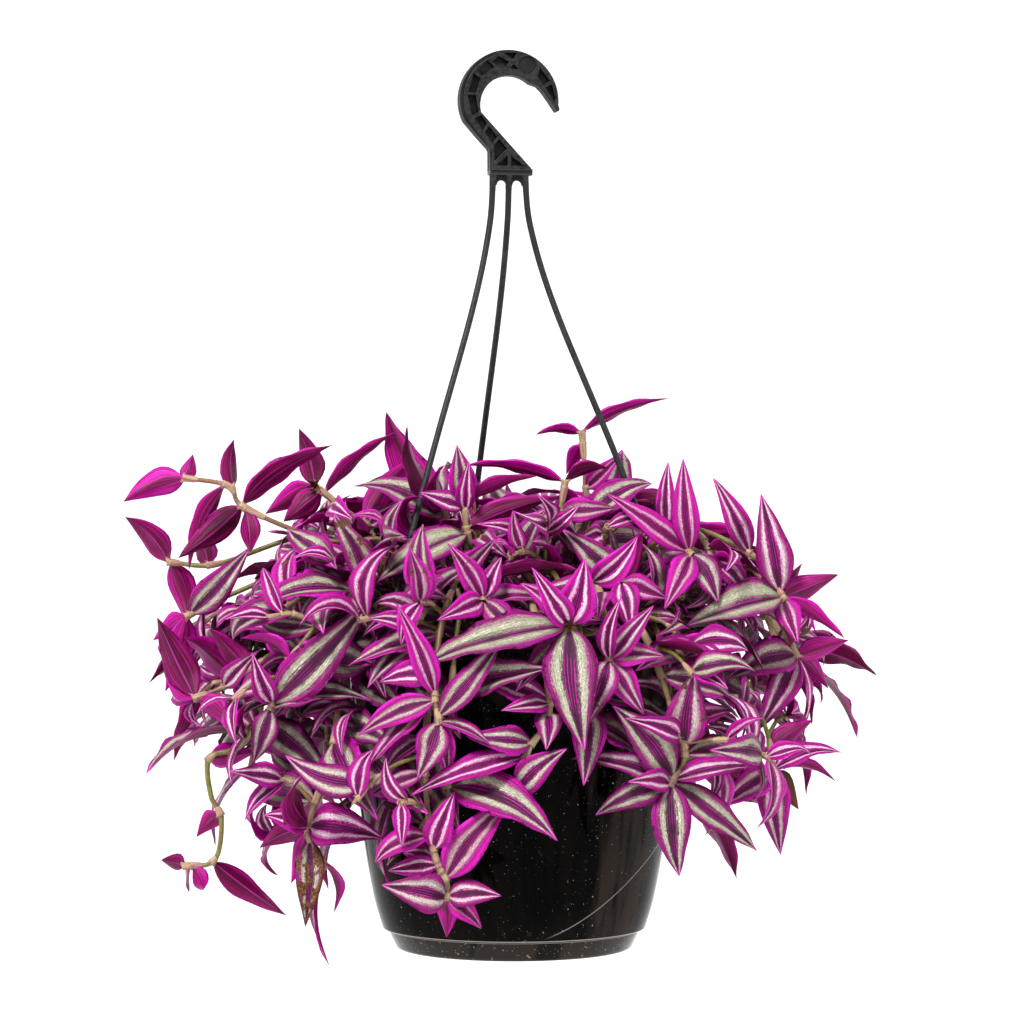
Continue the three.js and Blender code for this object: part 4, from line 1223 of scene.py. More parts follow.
            (20, -240, -22), (25, -222, -26), (28, -203, -26),
        ),
        blades=(
            (28, -203, -24, -193, 6, 13, Facing.UP_BACK), (28, -203, 51, -196, 0, 12, Facing.UP_BACK),
            (28, -206, 38, -224, -4, 11, Facing.BACK), (26, -218, 54, -216, -4, 14, Facing.FRONT),
        ),
    ),
    "top_tall": SeenStem(
        root=22,
        route=(
            (36, -240, 2), (39, -223, 4), (38, -200, 4), (36.5, -178, 4),
        ),
        blades=(
            (36.5, -178, 80, -161, 0, 11, Facing.UP_BACK), (36.5, -179, 13, -179, 0, 9, Facing.UP_BACK),
            (37, -184, 29, -200, -2, 10, Facing.BACK), (38, -206, 58, -190, 4, 12, Facing.FRONT),
        ),
    ),
    "top_centre": SeenStem(
        root=30,
        route=(
            (-6, -242, -58), (-10, -248, -76), (-13, -262, -88),
        ),
        blades=(
            (-13, -262, -31, -233, -2, 14, Facing.FRONT), (-12, -261, -4, -240, -4, 12, Facing.FRONT),
            (-8, -244, 39, -247, 4, 14, Facing.UP_BACK), (-13, -262, -36, -272, -4, 15, Facing.FRONT),
            (-12, -263, 8, -284, -4, 14, Facing.FRONT),
        ),
    ),
    "top_right": SeenStem(
        root=30,
        route=(
            (40, -236, -40), (50, -240, -56), (56, -253, -66),
        ),
        blades=(
            (55, -252, 26, -226, -4, 17, Facing.FRONT), (56, -252, 67, -227, 2, 14, Facing.BACK),
            (56, -253, 62, -280, -6, 16, Facing.FRONT), (56, -253, 80, -262, -4, 14, Facing.FRONT),
        ),
    ),
}

TIERS = (
    Tier("front_left", 4, (-78, -8), 60, (86, -266), (98, 106), (-384, -318), 8, 0.05),
    Tier("front_right", 3, (8, 76), 60, (86, -266), (98, 106), (-330, -300), 7, 0.05),
    Tier("side_left", 3, (-112, -66), 56, (96, -250), (124, 146), (-352, -270), 7, 0.3),
    Tier("side_right", 2, (70, 104), 56, (96, -250), (122, 140), (-340, -280), 8, 0.3),
    Tier("low", 5, (114, 252), 66, (92, -264), (112, 130), (-394, -345), 8, 0.3),
    Tier("mid", 5, (100, 262), 50, (96, -240), (142, 166), (-320, -262), 8, 0.35),
    Tier("high", 4, (120, 250), 34, (70, -228), (104, 128), (-250, -222), 7, 0.35),
    Tier("crown", 5, (20, 340), 18, (24, -244), (34, 62), (-232, -212), 7, 0.3),
)
# Age, dryness and tone of single leaves that stand out in the photograph, by stem and leaf.
OWN_LOOKS: dict[str, dict[int, tuple[float, float, float]]] = {
    "top_left": {0: (1.3, 0.1, 0.2)},
    "front_centre": {0: (0.8, 0.0, 0.3), 1: (1.17, 0.05, 0.2), 2: (0.2, 0.0, 0.4), 3: (0.1, 0.0, 0.4)},
    "right_edge": {0: (1.17, 0.05, 0.3), 1: (0.45, 0.0, 0.3)},
    "right_high": {1: (0.3, 0.0, 0.85)},
    "right_star": {0: (0.8, 0.05, 0.2), 1: (0.9, 0.1, 0.3), 2: (0.8, 0.05, 0.3)},
    "left_star": {
        0: (0.15, 0.0, 0.3), 1: (0.35, 0.05, 0.3), 2: (0.1, 0.0, 0.5),
        3: (1.0, 0.5, 0.2), 6: (0.6, 0.12, 0.9), 7: (0.4, 0.1, 0.9),
    },
    "centre_left": {0: (0.8, 0.0, 0.2), 1: (0.9, 0.0, 0.3)},
    "left_hang": {0: (0.9, 0.05, 0.3), 2: (0.9, 0.0, 0.35)},
    "right_low": {3: (0.6, 0.8, 0.5)},
    "front_low_left": {0: (0.6, 0.0, 0.3)},
    "left_low": {0: (0.6, 0.0, 0.2)},
    "left_high": {0: (0.1, 0.3, 0.8)},
}
# Further leaves of seen stems, in rows as SeenStem has them.
MORE_LEAVES: dict[str, tuple[BladeRow, ...]] = {
    "front_low": (
        (19, -312, -24, -296, -6, 17, Facing.FRONT), (12, -334, -22, -330, -6, 15, Facing.FRONT),
        (16, -296, 2, -326, -8, 16, Facing.FRONT),
    ),
    "top_centre": (
        (-12, -258, 6, -298, -8, 17, Facing.FRONT_UP), (-13, -262, -30, -300, -10, 16, Facing.FRONT),
    ),
    "front_mid": (
        (-36, -300, -2, -310, -6, 16, Facing.FRONT), (-36, -298, -66, -304, -6, 15, Facing.FRONT),
        (-35, -322, -30, -352, 0, 13, Facing.FRONT),
    ),
    "centre_right": (
        (50, -292, 38, -326, -6, 17, Facing.FRONT), (49, -282, 84, -306, -8, 16, Facing.FRONT_UP),
    ),
    "right_star": (
        (84, -325, 112, -318, -8, 17, Facing.FRONT_UP), (86, -330, 60, -318, -10, 15, Facing.FRONT),
    ),
    "centre_left": ((-112, -298, -88, -330, -8, 17, Facing.FRONT_UP),),
}
BROWN_HEARTS = ("front_centre", "front_low", "right_low", "left_upper")
TRIES = 28
STEM_DEPTH = 22.0
RULE_LENGTH = (42.0, 66.0)
RULE_WIDTH = (0.4, 0.48)
ARCH, FOLD = 0.1, 0.14
ROOT_HALF = 1.1


def chance(a: int, b: int, c: int) -> float:
    """A repeatable number for three whole numbers, the same as in the part's source.

    Args:
        a, b, c: the whole numbers.
    Returns:
        A number from 0 to 1.
    """

    def times(x: int, y: int) -> int:
        """The low 32 bits of a product."""
        return (x * y) & 0xFFFFFFFF

    h = times(a + 1, 374761393) ^ times(b + 1, 668265263)
    h ^= times(c + 1, 2246822519)
    h = times(h ^ (h >> 15), 2246822507)
    h = times(h ^ (h >> 13), 3266489909)
    return (h ^ (h >> 16)) / 4294967296


def between(limits: Sequence[float], share: float) -> float:
    """The value at a share of the way between two limits."""
    return limits[0] + (limits[1] - limits[0]) * share


def unit(vector: Array) -> Array:
    """A vector's direction, of length 1."""
    return vector / np.linalg.norm(vector)


def units(rows: Array) -> Array:
    """The directions of several vectors, one in a row."""
    return rows / np.linalg.norm(rows, axis=1, keepdims=True)


def seen(across: float, up: float, depth: float) -> Array:
    """The real place of a point that the viewer sees at (across, up), that far behind the axis."""
    near = (EYE_DISTANCE + depth) / EYE_DISTANCE
    return np.array([EYE_X + (across - EYE_X) * near, depth, EYE_Z + (up - EYE_Z) * near])


def around(radius: float, turn: float, height: float) -> Array:
    """A point at a distance from the pot's axis, a turn from the front towards +X and a height."""
    return np.array([AXIS_X + radius * math.sin(turn), -radius * math.cos(turn), height])


class Route:
    """A smooth line through points, from 0 at the first to 1 at the last."""

    def __init__(self, points: Sequence[Array]) -> None:
        """Args: points: what the line goes through, in millimetres."""
        known = [np.asarray(p, float) for p in points]
        ends = (2 * known[0] - known[1], 2 * known[-1] - known[-2])
        self.points = np.array([ends[0], *known, ends[1]])
        self.spans = len(known) - 1

    def many(self, shares: Array) -> Array:
        """Points of the line.

        Args:
            shares: where they lie, each from 0 to 1.
        Returns:
            The points, one in a row.
        """
        place = np.clip(np.asarray(shares, float), 0, 1) * self.spans
        span = np.minimum(place.astype(int), self.spans - 1)
        w = (place - span)[:, None]
        p0, p1, p2, p3 = (self.points[span + i] for i in range(4))
        t0, t1 = 0.5 * (p2 - p0), 0.5 * (p3 - p1)
        square = -3 * p1 + 3 * p2 - 2 * t0 - t1
        cube = 2 * p1 - 2 * p2 + t0 + t1
        return p1 + t0 * w + square * w**2 + cube * w**3

    def at(self, share: float) -> Array:
        """One point of the line."""
        return self.many(np.array([share]))[0]

    def tangent(self, share: float) -> Array:
        """The line's direction at a share of it."""
        low, high = self.many(np.array([max(share - 1e-4, 0), min(share + 1e-4, 1)]))
        return unit(high - low)

    def length(self) -> float:
        """The line's length."""
        return float(np.linalg.norm(np.diff(self.many(np.linspace(0, 1, 200)), axis=0), axis=1).sum())

    def nearest(self, point: Array) -> tuple[Array, float]:
        """The evenly spaced point of the line's outer part that is nearest to a point, and its share."""
        shares = np.arange(120, 401) / 400
        tried = self.many(shares)
        best = int(np.argmin(np.linalg.norm(tried - point, axis=1)))
        return tried[best], float(shares[best])


def stem_route(root: Array, points: Sequence[Array]) -> Route:
    """The line of a stem: straight up out of the soil and over to the points given.

    Args:
        root: where it leaves the soil.
        points: the rest of its way.
    Returns:
        The stem's route.
    """

    def above(height: float) -> Array:
        """A point above the root."""
        return np.array([root[0], root[1], SOIL_TOP + height])

    def towards(share: float, climb: float) -> Array:
        """A point part of the way to the first one."""
        point = above(0) + (points[0] - above(0)) * share
        point[2] = SOIL_TOP + (points[0][2] - SOIL_TOP) * climb
        return point

    start = [above(-STEM_DEPTH), above(-STEM_DEPTH / 2), above(3)]
    return Route([*start, towards(0.07, 0.4), towards(0.45, 0.8), *points])


@dataclass
class Blade:
    """One leaf: its line from base to tip, its width and how it bends. Millimetres."""

    base: Array
    tip: Array
    up: Array
    width: float
    arch: float
    fold: float
    twist: float
    share: float
    tone: float = 0.5
    age: float = 0.5
    dry: float = 0.0
    salt: float = 0.0
    bow: float = 0.0
    curl: float = 0.0

    def length(self) -> float:
        """The straight distance from base to tip."""
        return float(np.linalg.norm(self.tip - self.base))

    def outline(self, u: Array) -> Array:
        """Half the width at shares of the length, as a share of the greatest half width."""
        widest = 0.36
        inner = 1 - (1 - np.minimum(u / widest, 1)) ** 2.2
        v = np.clip((u - widest) / (1 - widest), 0, 1)
        return np.where(u < widest, inner, (1 - v**1.7) * (1 - 0.28 * v))

    def frames(self, u: Array) -> tuple[Array, Array, Array]:
        """The midline of the blade and how it stands.

        Args:
            u: shares of its length.
        Returns:
            The midline's points, the directions across the blade and those out of its upper side.
        """
        straight = unit(self.tip - self.base)
        lift = unit(self.up - (self.up @ straight) * straight)
        crown = (self.base + self.tip) / 2 + lift * 2 * self.arch * self.length()
        t = u[:, None]
        middle = self.base * (1 - t) ** 2 + crown * 2 * t * (1 - t) + self.tip * t * t
        along = units((crown - self.base) * (1 - t) + (self.tip - crown) * t)
        side = units(np.cross(along, lift))
        normal = np.cross(side, along)
        turn = self.twist * t
        across = side * np.cos(turn) + normal * np.sin(turn)
        face = normal * np.cos(turn) - side * np.sin(turn)
        middle = middle + across * (self.bow * self.length() * np.sin(math.pi * t))
        middle = middle - face * (self.curl * self.length() * np.clip((t - 0.55) / 0.45, 0, 1) ** 2)
        return middle, across, face

    def samples(self, start: float = 0.0) -> Array:
        """Points spread evenly over the blade.

        Args:
            start: the share of its length where they begin.
        Returns:
            The points, one in a row.
        """
        u = np.linspace(start, 1, max(int(self.length() * (1 - start) / 1.8), 3))
        v = np.linspace(-1, 1, max(int(self.width / 1.8), 4))
        middle, across, face = self.frames(u)
        half = self.width / 2 * self.outline(u)[:, None]
        spread = half * math.cos(self.fold) * v
        height = half * math.sin(self.fold) * np.abs(v) ** 1.25
        points = middle[:, None] + across[:, None] * spread[..., None] + face[:, None] * height[..., None]
        return points.reshape(-1, 3)

    def add_to(self, heap: Heap) -> None:
        """Adds the blade to a mesh: two skins that join at the edge. Args: heap: the mesh's pieces."""
        rows = int(np.clip(self.length() / 2.6, 9, 24))
        columns = 9
        s = np.linspace(0, 1, rows + 1)
        u = (0.6 * s + 0.4 * (1 - np.cos(np.pi * s)) / 2)[:-1]
        v = np.linspace(-1, 1, columns)
        middle, across, face = self.frames(u)
        half = np.maximum(self.width / 2 * self.outline(u), ROOT_HALF * np.clip(1 - u / 0.3, 0, 1))
        size = np.abs(v)
        wave = 0.05 * self.width * np.sin(TAU * (u * self.length() / 17 + self.salt))
        wave = wave * np.sin(np.pi * u) ** 0.5
        valley = half[:, None] * math.sin(self.fold) * size**1.25
        pillow = half[:, None] * 0.1 * np.sin(np.pi * size)
        ripple = wave[:, None] * size**3 * np.where(v > 0, 1.0, -0.8)
        height = valley + pillow + ripple - 0.3 * (1 - size) * np.minimum(half, 3)[:, None] / 3
        spread = half[:, None] * math.cos(self.fold) * v
        upper = middle[:, None] + across[:, None] * spread[..., None] + face[:, None] * height[..., None]
        thick = np.minimum(0.6, 0.4 * half)[:, None] * (1 - size**4)
        under = upper - face[:, None] * thick[..., None]
        tip = self.frames(np.array([1.0]))[0]
        inner = slice(1, columns - 1)
        points = np.concatenate([upper.reshape(-1, 3), under[:, inner].reshape(-1, 3), tip])
        place = np.stack(np.broadcast_arrays(u[:, None], (v + 1) / 2), axis=-1)
        blade = np.concatenate([place.reshape(-1, 2), place[:, inner].reshape(-1, 2), [[1.0, 0.5]]])
        faces, slots = self._faces(rows, columns)
        heap.add(points, faces, slots, np.array([self.tone, self.age, self.dry]), blade)

    @staticmethod
    def _faces(rows: int, columns: int) -> tuple[list[tuple[int, ...]], list[int]]:
        """The faces of both skins, the cap at the base and the point at the tip.

        Args:
            rows: rows of points from the base to before the tip.
            columns: points across the upper skin.
        Returns:
            The faces and the slot of each.
        """
        first = rows * columns
        last = first + rows * (columns - 2)

        def low(i: int, j: int) -> int:
            """The point of the under skin at row i and column j, on the edge shared with the upper."""
            if j in (0, columns - 1):
                return i * columns + j
            return first + i * (columns - 2) + j - 1

        faces: list[tuple[int, ...]] = list(grid_faces(rows, columns))
        end = (rows - 1) * columns
        faces += [(end + j, end + j + 1, last) for j in range(columns - 1)]
        upper = len(faces)
        for j in range(columns - 1):
            for i in range(rows - 1):
                faces.append((low(i, j + 1), low(i, j), low(i + 1, j), low(i + 1, j + 1)))
            faces.append((low(rows - 1, j + 1), low(rows - 1, j), last))
        cap = [j for j in range(columns)] + [low(0, j) for j in range(columns - 2, 0, -1)]
        faces.append(tuple(reversed(cap)))
        return faces, [Skin.UPPER.value] * upper + [Skin.UNDER.value] * (len(faces) - upper)


class StemPlan:
    """How one leafy stem grows, before it is set against the CAD node of its name."""

    def __init__(self, name: str, seed: int, root: float, count: int) -> None:
        """Args: name, seed: its own. root: distance from the pot's axis. count: its blades."""
        self.name, self.seed, self.root, self.count = name, seed, root, count

    def points(self, attempt: int) -> list[Array]:
        """The route's points at an attempt."""
        raise NotImplementedError

    def blade(self, route: Route, index: int, attempt: int) -> Blade:
        """Blade number index in its pose number attempt."""
        raise NotImplementedError

    def routes(self) -> list[tuple[Array, Route]]:
        """The ways that the stem may grow.

        Returns:
            The root and the route of every attempt.
        """
        found = []
        for attempt in range(TRIES):
            points = self.points(attempt)
            stray = (1 if attempt else 0)
            turn = math.atan2(points[0][0] - AXIS_X, -points[0][1])
            radius = self.root + 22 * stray * (chance(self.seed, attempt, 30) - 0.5)
            turn += 0.5 * stray * (chance(self.seed, attempt, 31) - 0.5)
            root = around(min(radius, 72), turn, SOIL_TOP)
            found.append((root, stem_route(root, points)))
        return found

    def looks(self, blade: Blade, index: int) -> Blade:
        """Gives a blade its own tone, age, dryness and curves.

        Args:
            blade: the blade, which is changed.
            index: its number on the stem.
        Returns:
            The same blade.
        """
        blade.tone = chance(self.seed, index, 40)
        blade.age = min(1.0, max(0.0, (blade.width - 8) / 18 + 0.7 * (chance(self.seed, index, 41) - 0.4)))
        blade.dry = 0.28 * chance(self.seed, index, 42) ** 3
        blade.salt = chance(self.seed, index, 43)
        blade.bow = 0.11 * (chance(self.seed, index, 45) - 0.5)
        blade.curl = 0.05 * chance(self.seed, index, 47)
        blade.fold *= 1.9
        own = OWN_LOOKS.get(self.name, {}).get(index, (blade.age, blade.dry, blade.tone))
        blade.age, blade.dry, blade.tone = own
        return blade


class SeenPlan(StemPlan):
    """A stem placed as the photograph shows it."""

    def __init__(self, name: str, seed: int, stem: SeenStem) -> None:
        """Args: name, seed: its own. stem: its row of the table."""
        super().__init__(name, seed, stem.root, len(stem.blades))
        self.stem = stem
        self.rows = (*stem.blades, *MORE_LEAVES.get(name, ()))

    def points(self, attempt: int) -> list[Array]:
        """The route's points, which are the same at each attempt."""
        return [seen(*point) for point in self.stem.route]

    def blade(self, route: Route, index: int, attempt: int) -> Blade:
        """One blade where the photograph shows it.

        Args:
            route: the stem's route.
            index, attempt: the blade's number and the number of its pose.
        Returns:
            The blade.
        """
        base_x, base_z, tip_x, tip_z, tip_depth, width, facing = self.rows[index]
        base, share = route.nearest(seen(base_x, base_z, self.stem.route[-1][2]))
        wander = [(chance(self.seed, 64 * index + attempt, salt) - 0.5) * attempt for salt in range(6)]
        step = math.ceil(attempt / 2) * (-3 if attempt % 2 else 3)
        tip = seen(tip_x + 0.5 * wander[1], tip_z + 0.5 * wander[2], base[1] + tip_depth + step)
        up = np.array(facing.value, float) + 0.05 * np.array(wander[3:6])
        return self.looks(Blade(
            base, tip, unit(up), width * (1 - 0.008 * attempt),
            ARCH * (0.6 + 0.9 * chance(self.seed, index, 6)),
            FOLD * (0.5 + chance(self.seed, index, 7)),
            0.5 * (chance(self.seed, index, 8) - 0.5), share,
        ), index)


class RulePlan(StemPlan):
    """A stem of a tier, placed by the rule that fills the sides, the back and the top."""

    def __init__(self, name: str, seed: int, tier: Tier, degrees: float) -> None:
        """Args: name, seed: its own. tier: what it belongs to. degrees: its direction."""
        super().__init__(name, seed, tier.root, tier.blades)
        self.tier, self.degrees = tier, degrees

    def points(self, attempt: int) -> list[Array]:
        """The route's points: a crest over the rim, a shoulder and the end.

        Args:
            attempt: which try this is, on which the sway depends.
        Returns:
            The points.
        """
        sway = (14 if attempt else 6) * (chance(self.seed, attempt, 20) - 0.5)
        turn = math.radians(self.degrees + sway)
        reach = between(self.tier.reach, chance(self.seed, 0, 21))
        height = between(self.tier.height, chance(self.seed, 0, 22))
        crest, level = self.tier.crest
        shoulder = around((crest + 2 * reach) / 3, turn, (2 * level + height) / 3)
        return [around(crest, turn, level), shoulder, around(reach, turn, height)]

    def blade(self, route: Route, index: int, attempt: int) -> Blade:
        """One blade by the rule: three at the stem's end, the others on alternate sides.

        Args:
            route: the stem's route.
            index, attempt: the blade's number and the number of its pose.
        Returns:
            The blade.
        """
        draw = [chance(self.seed, 64 * index + attempt, salt) for salt in range(7)]
        from_end = self.count - 1 - index
        share = 1 - 0.028 * from_end if from_end < 3 else 1 - 0.09 * (from_end - 1.4)
        base, along = route.at(share), route.tangent(share)
        out = unit(np.array([base[0] - AXIS_X, base[1], 0.0]))
        side = unit(np.cross(along, out))
        spread = (0.15, 1.1, -1.1)[from_end] if from_end < 3 else 1.15 * (1 if index % 2 else -1)
        stray = 0.25 + 0.05 * attempt
        turn = spread + stray * (draw[1] - 0.5) * 2
        heading = along * math.cos(turn) + side * math.sin(turn)
        heading += out * (self.tier.lean + stray * (draw[2] - 0.4))
        heading[2] += 0.12 + stray * (draw[3] - 0.5)
        length = between(RULE_LENGTH, chance(self.seed, index, 9)) * (1 - 0.012 * attempt)
        up = out * 0.8 + np.array([0, 0, 0.65]) + 0.7 * (np.array(draw[4:7]) - 0.5)
        return self.looks(Blade(
            base, base + unit(heading) * length, unit(up),
            length * between(RULE_WIDTH, chance(self.seed, index, 10)),
            ARCH * (0.7 + 0.9 * chance(self.seed, index, 6)),
            FOLD * (0.5 + chance(self.seed, index, 7)),
            0.6 * (chance(self.seed, index, 8) - 0.5), share,
        ), index)


def stem_plans() -> list[StemPlan]:
    """All stems in the order of the part's source, on which their seeds depend.

    Returns:
        A plan for each stem.
    """
    plans: list[StemPlan] = []
    for name, stem in SEEN_STEMS.items():
        plans.append(SeenPlan(name, len(plans), stem))
    for tier in TIERS:
        for i in range(tier.count):
            degrees = between(tier.directions, (i + 0.5) / tier.count)
            plans.append(RulePlan(f"{tier.name}_{i + 1}", len(plans), tier, degrees))
    return plans


class Room:
    """The space round the plant in small cells, which keeps the leaves from growing through each other.

    LOOKS_FAR are the distances at which a point looks for what shades it, and DIMMED is the light that
    each taken cell on the way lets through.
    """

    LOOKS_FAR = (7, 11, 15, 20, 26, 33, 41, 50, 60)
    DIMMED = 0.55

    def __init__(self, cell: float = 2.5) -> None:
        """Args: cell: the side of a cell in millimetres."""
        self.cell, self.overlap = cell, 0.15
        self.low = np.array([-190.0, -127.0, -432.0])
        self.high = np.array([188.0, 212.0, -160.0])
        size = np.ceil((self.high - self.low) / cell).astype(int) + 1
        x, y, z = (self.low[i] + (np.arange(size[i]) + 0.5) * cell for i in range(3))
        radius = np.hypot(x[:, None] - AXIS_X, y[None])[..., None]
        wall = np.interp(z, (-436, -425, -412, -386, -342, -288, -282), (60, 66, 70, 75, 80, 84.5, 88))
        filled = (radius < wall + 1.5) & (z < SOIL_TOP + 3)
        self.taken = filled | ((np.abs(radius - 85) < 4) & (z < -280))
        self.kept = np.zeros_like(self.taken)

    def _cells(self, points: Array) -> tuple[Array, ...]:
        """The cells that points lie in."""
        index = ((points - self.low) / self.cell).astype(int)
        return tuple(np.clip(index, 0, np.array(self.taken.shape) - 1).T)

    def take(self, points: Array) -> None:
        """Marks the cells of points as taken."""
        self.taken[self._cells(points)] = True

    def keep_before(self, points: Array, reach: float) -> None:
        """Keeps what the viewer sees in front of points clear of filling. Args: reach: how far."""
        for far in np.arange(self.cell, reach, self.cell):
            self.kept[self._cells(points - (0, far, 0))] = True

    def take_line(self, points: Array, radius: float) -> None:
        """Marks the cells of a rod along points as taken."""
        for shift in np.concatenate([np.zeros((1, 3)), np.eye(3), -np.eye(3)]):
            self.take(points + radius * shift)

    def shade(self, points: Array) -> Array:
        """How much of the sky and of what is in front each point doesn't see, from 0 to 1.

        Args:
            points: the points, one in a row.
        Returns:
            A number for each point.
        """
        out = units(points * (1, 1, 0) - (AXIS_X, 0, 0) + 0.01)
        ways = [np.broadcast_to((0.0, 0.0, 1.0), points.shape), units(out + (0, 0, 0.9)), out,
                units(out + (0, 0, 0.35) + np.cross(out, (0, 0, 0.8))),
                units(out + (0, 0, 0.35) - np.cross(out, (0, 0, 0.8)))]
        hidden = np.zeros(len(points))
        for way in ways:
            clear = np.ones(len(points))
            for far in self.LOOKS_FAR:
                tried = points + way * far
                inside = np.all((tried > self.low) & (tried < self.high), axis=1)
                clear *= np.where(self.taken[self._cells(tried)] & inside, self.DIMMED, 1.0)
            hidden += (1 - clear) / len(ways)
        return hidden

    def empty(self, points: Array) -> bool:
        """Whether all points lie in free cells inside the space."""
        if (points < self.low + 1).any() or (points > self.high - 1).any():
            return False
        return not self.taken[self._cells(points)].any()

    def free(self, points: Array) -> bool:
        """Whether all points lie in free cells inside the plant's outline, and few before a main leaf."""
        if not self.empty(points) or self.kept[self._cells(points)].mean() > self.overlap:
            return False
        return Outline.holds(points)


class Outline:
    """The lowest and the highest that leaves may show to the viewer, as points across and up."""

    LOWEST = (
        (-194, -245), (-175, -312), (-155, -330), (-140, -352), (-128, -390), (-112, -412), (-102, -420),
        (-90, -427),
        (-82, -400), (-67, -404), (-60, -415), (-35, -418), (-14, -392), (-4, -362), (6, -352), (26, -332),
        (46, -342), (66, -377), (86, -392), (106, -390), (126, -386), (140, -366), (152, -340), (161, -290),
        (190, -290),
    )
    HIGHEST = (
        (-194, -280), (-160, -272), (-138, -262), (-116, -236), (-104, -214), (-90, -208),
        (-60, -204), (-47, -204), (-34, -214), (-24, -200), (10, -204), (46, -208), (66, -218), (82, -214),
        (92, -228), (126, -234), (140, -252), (150, -264), (161, -290), (190, -290),
    )

    @classmethod
    def holds(cls, points: Array) -> bool:
        """Whether all points lie inside the outline, or out of sight behind the pot.

        Args:
            points: the points, one in a row.
        Returns:
            True if none shows outside.
        """
        near = (EYE_DISTANCE + points[:, 1]) / EYE_DISTANCE
        across = EYE_X + (points[:, 0] - EYE_X) / near
        up = EYE_Z + (points[:, 2] - EYE_Z) / near
        lowest = np.interp(across, *zip(*cls.LOWEST))
        highest = np.interp(across, *zip(*cls.HIGHEST))
        behind = (points[:, 1] > 10) & (np.abs(points[:, 0] - AXIS_X) < 66) & (up > -405)
        return bool(np.all((up < highest) & ((up > lowest) | behind)))


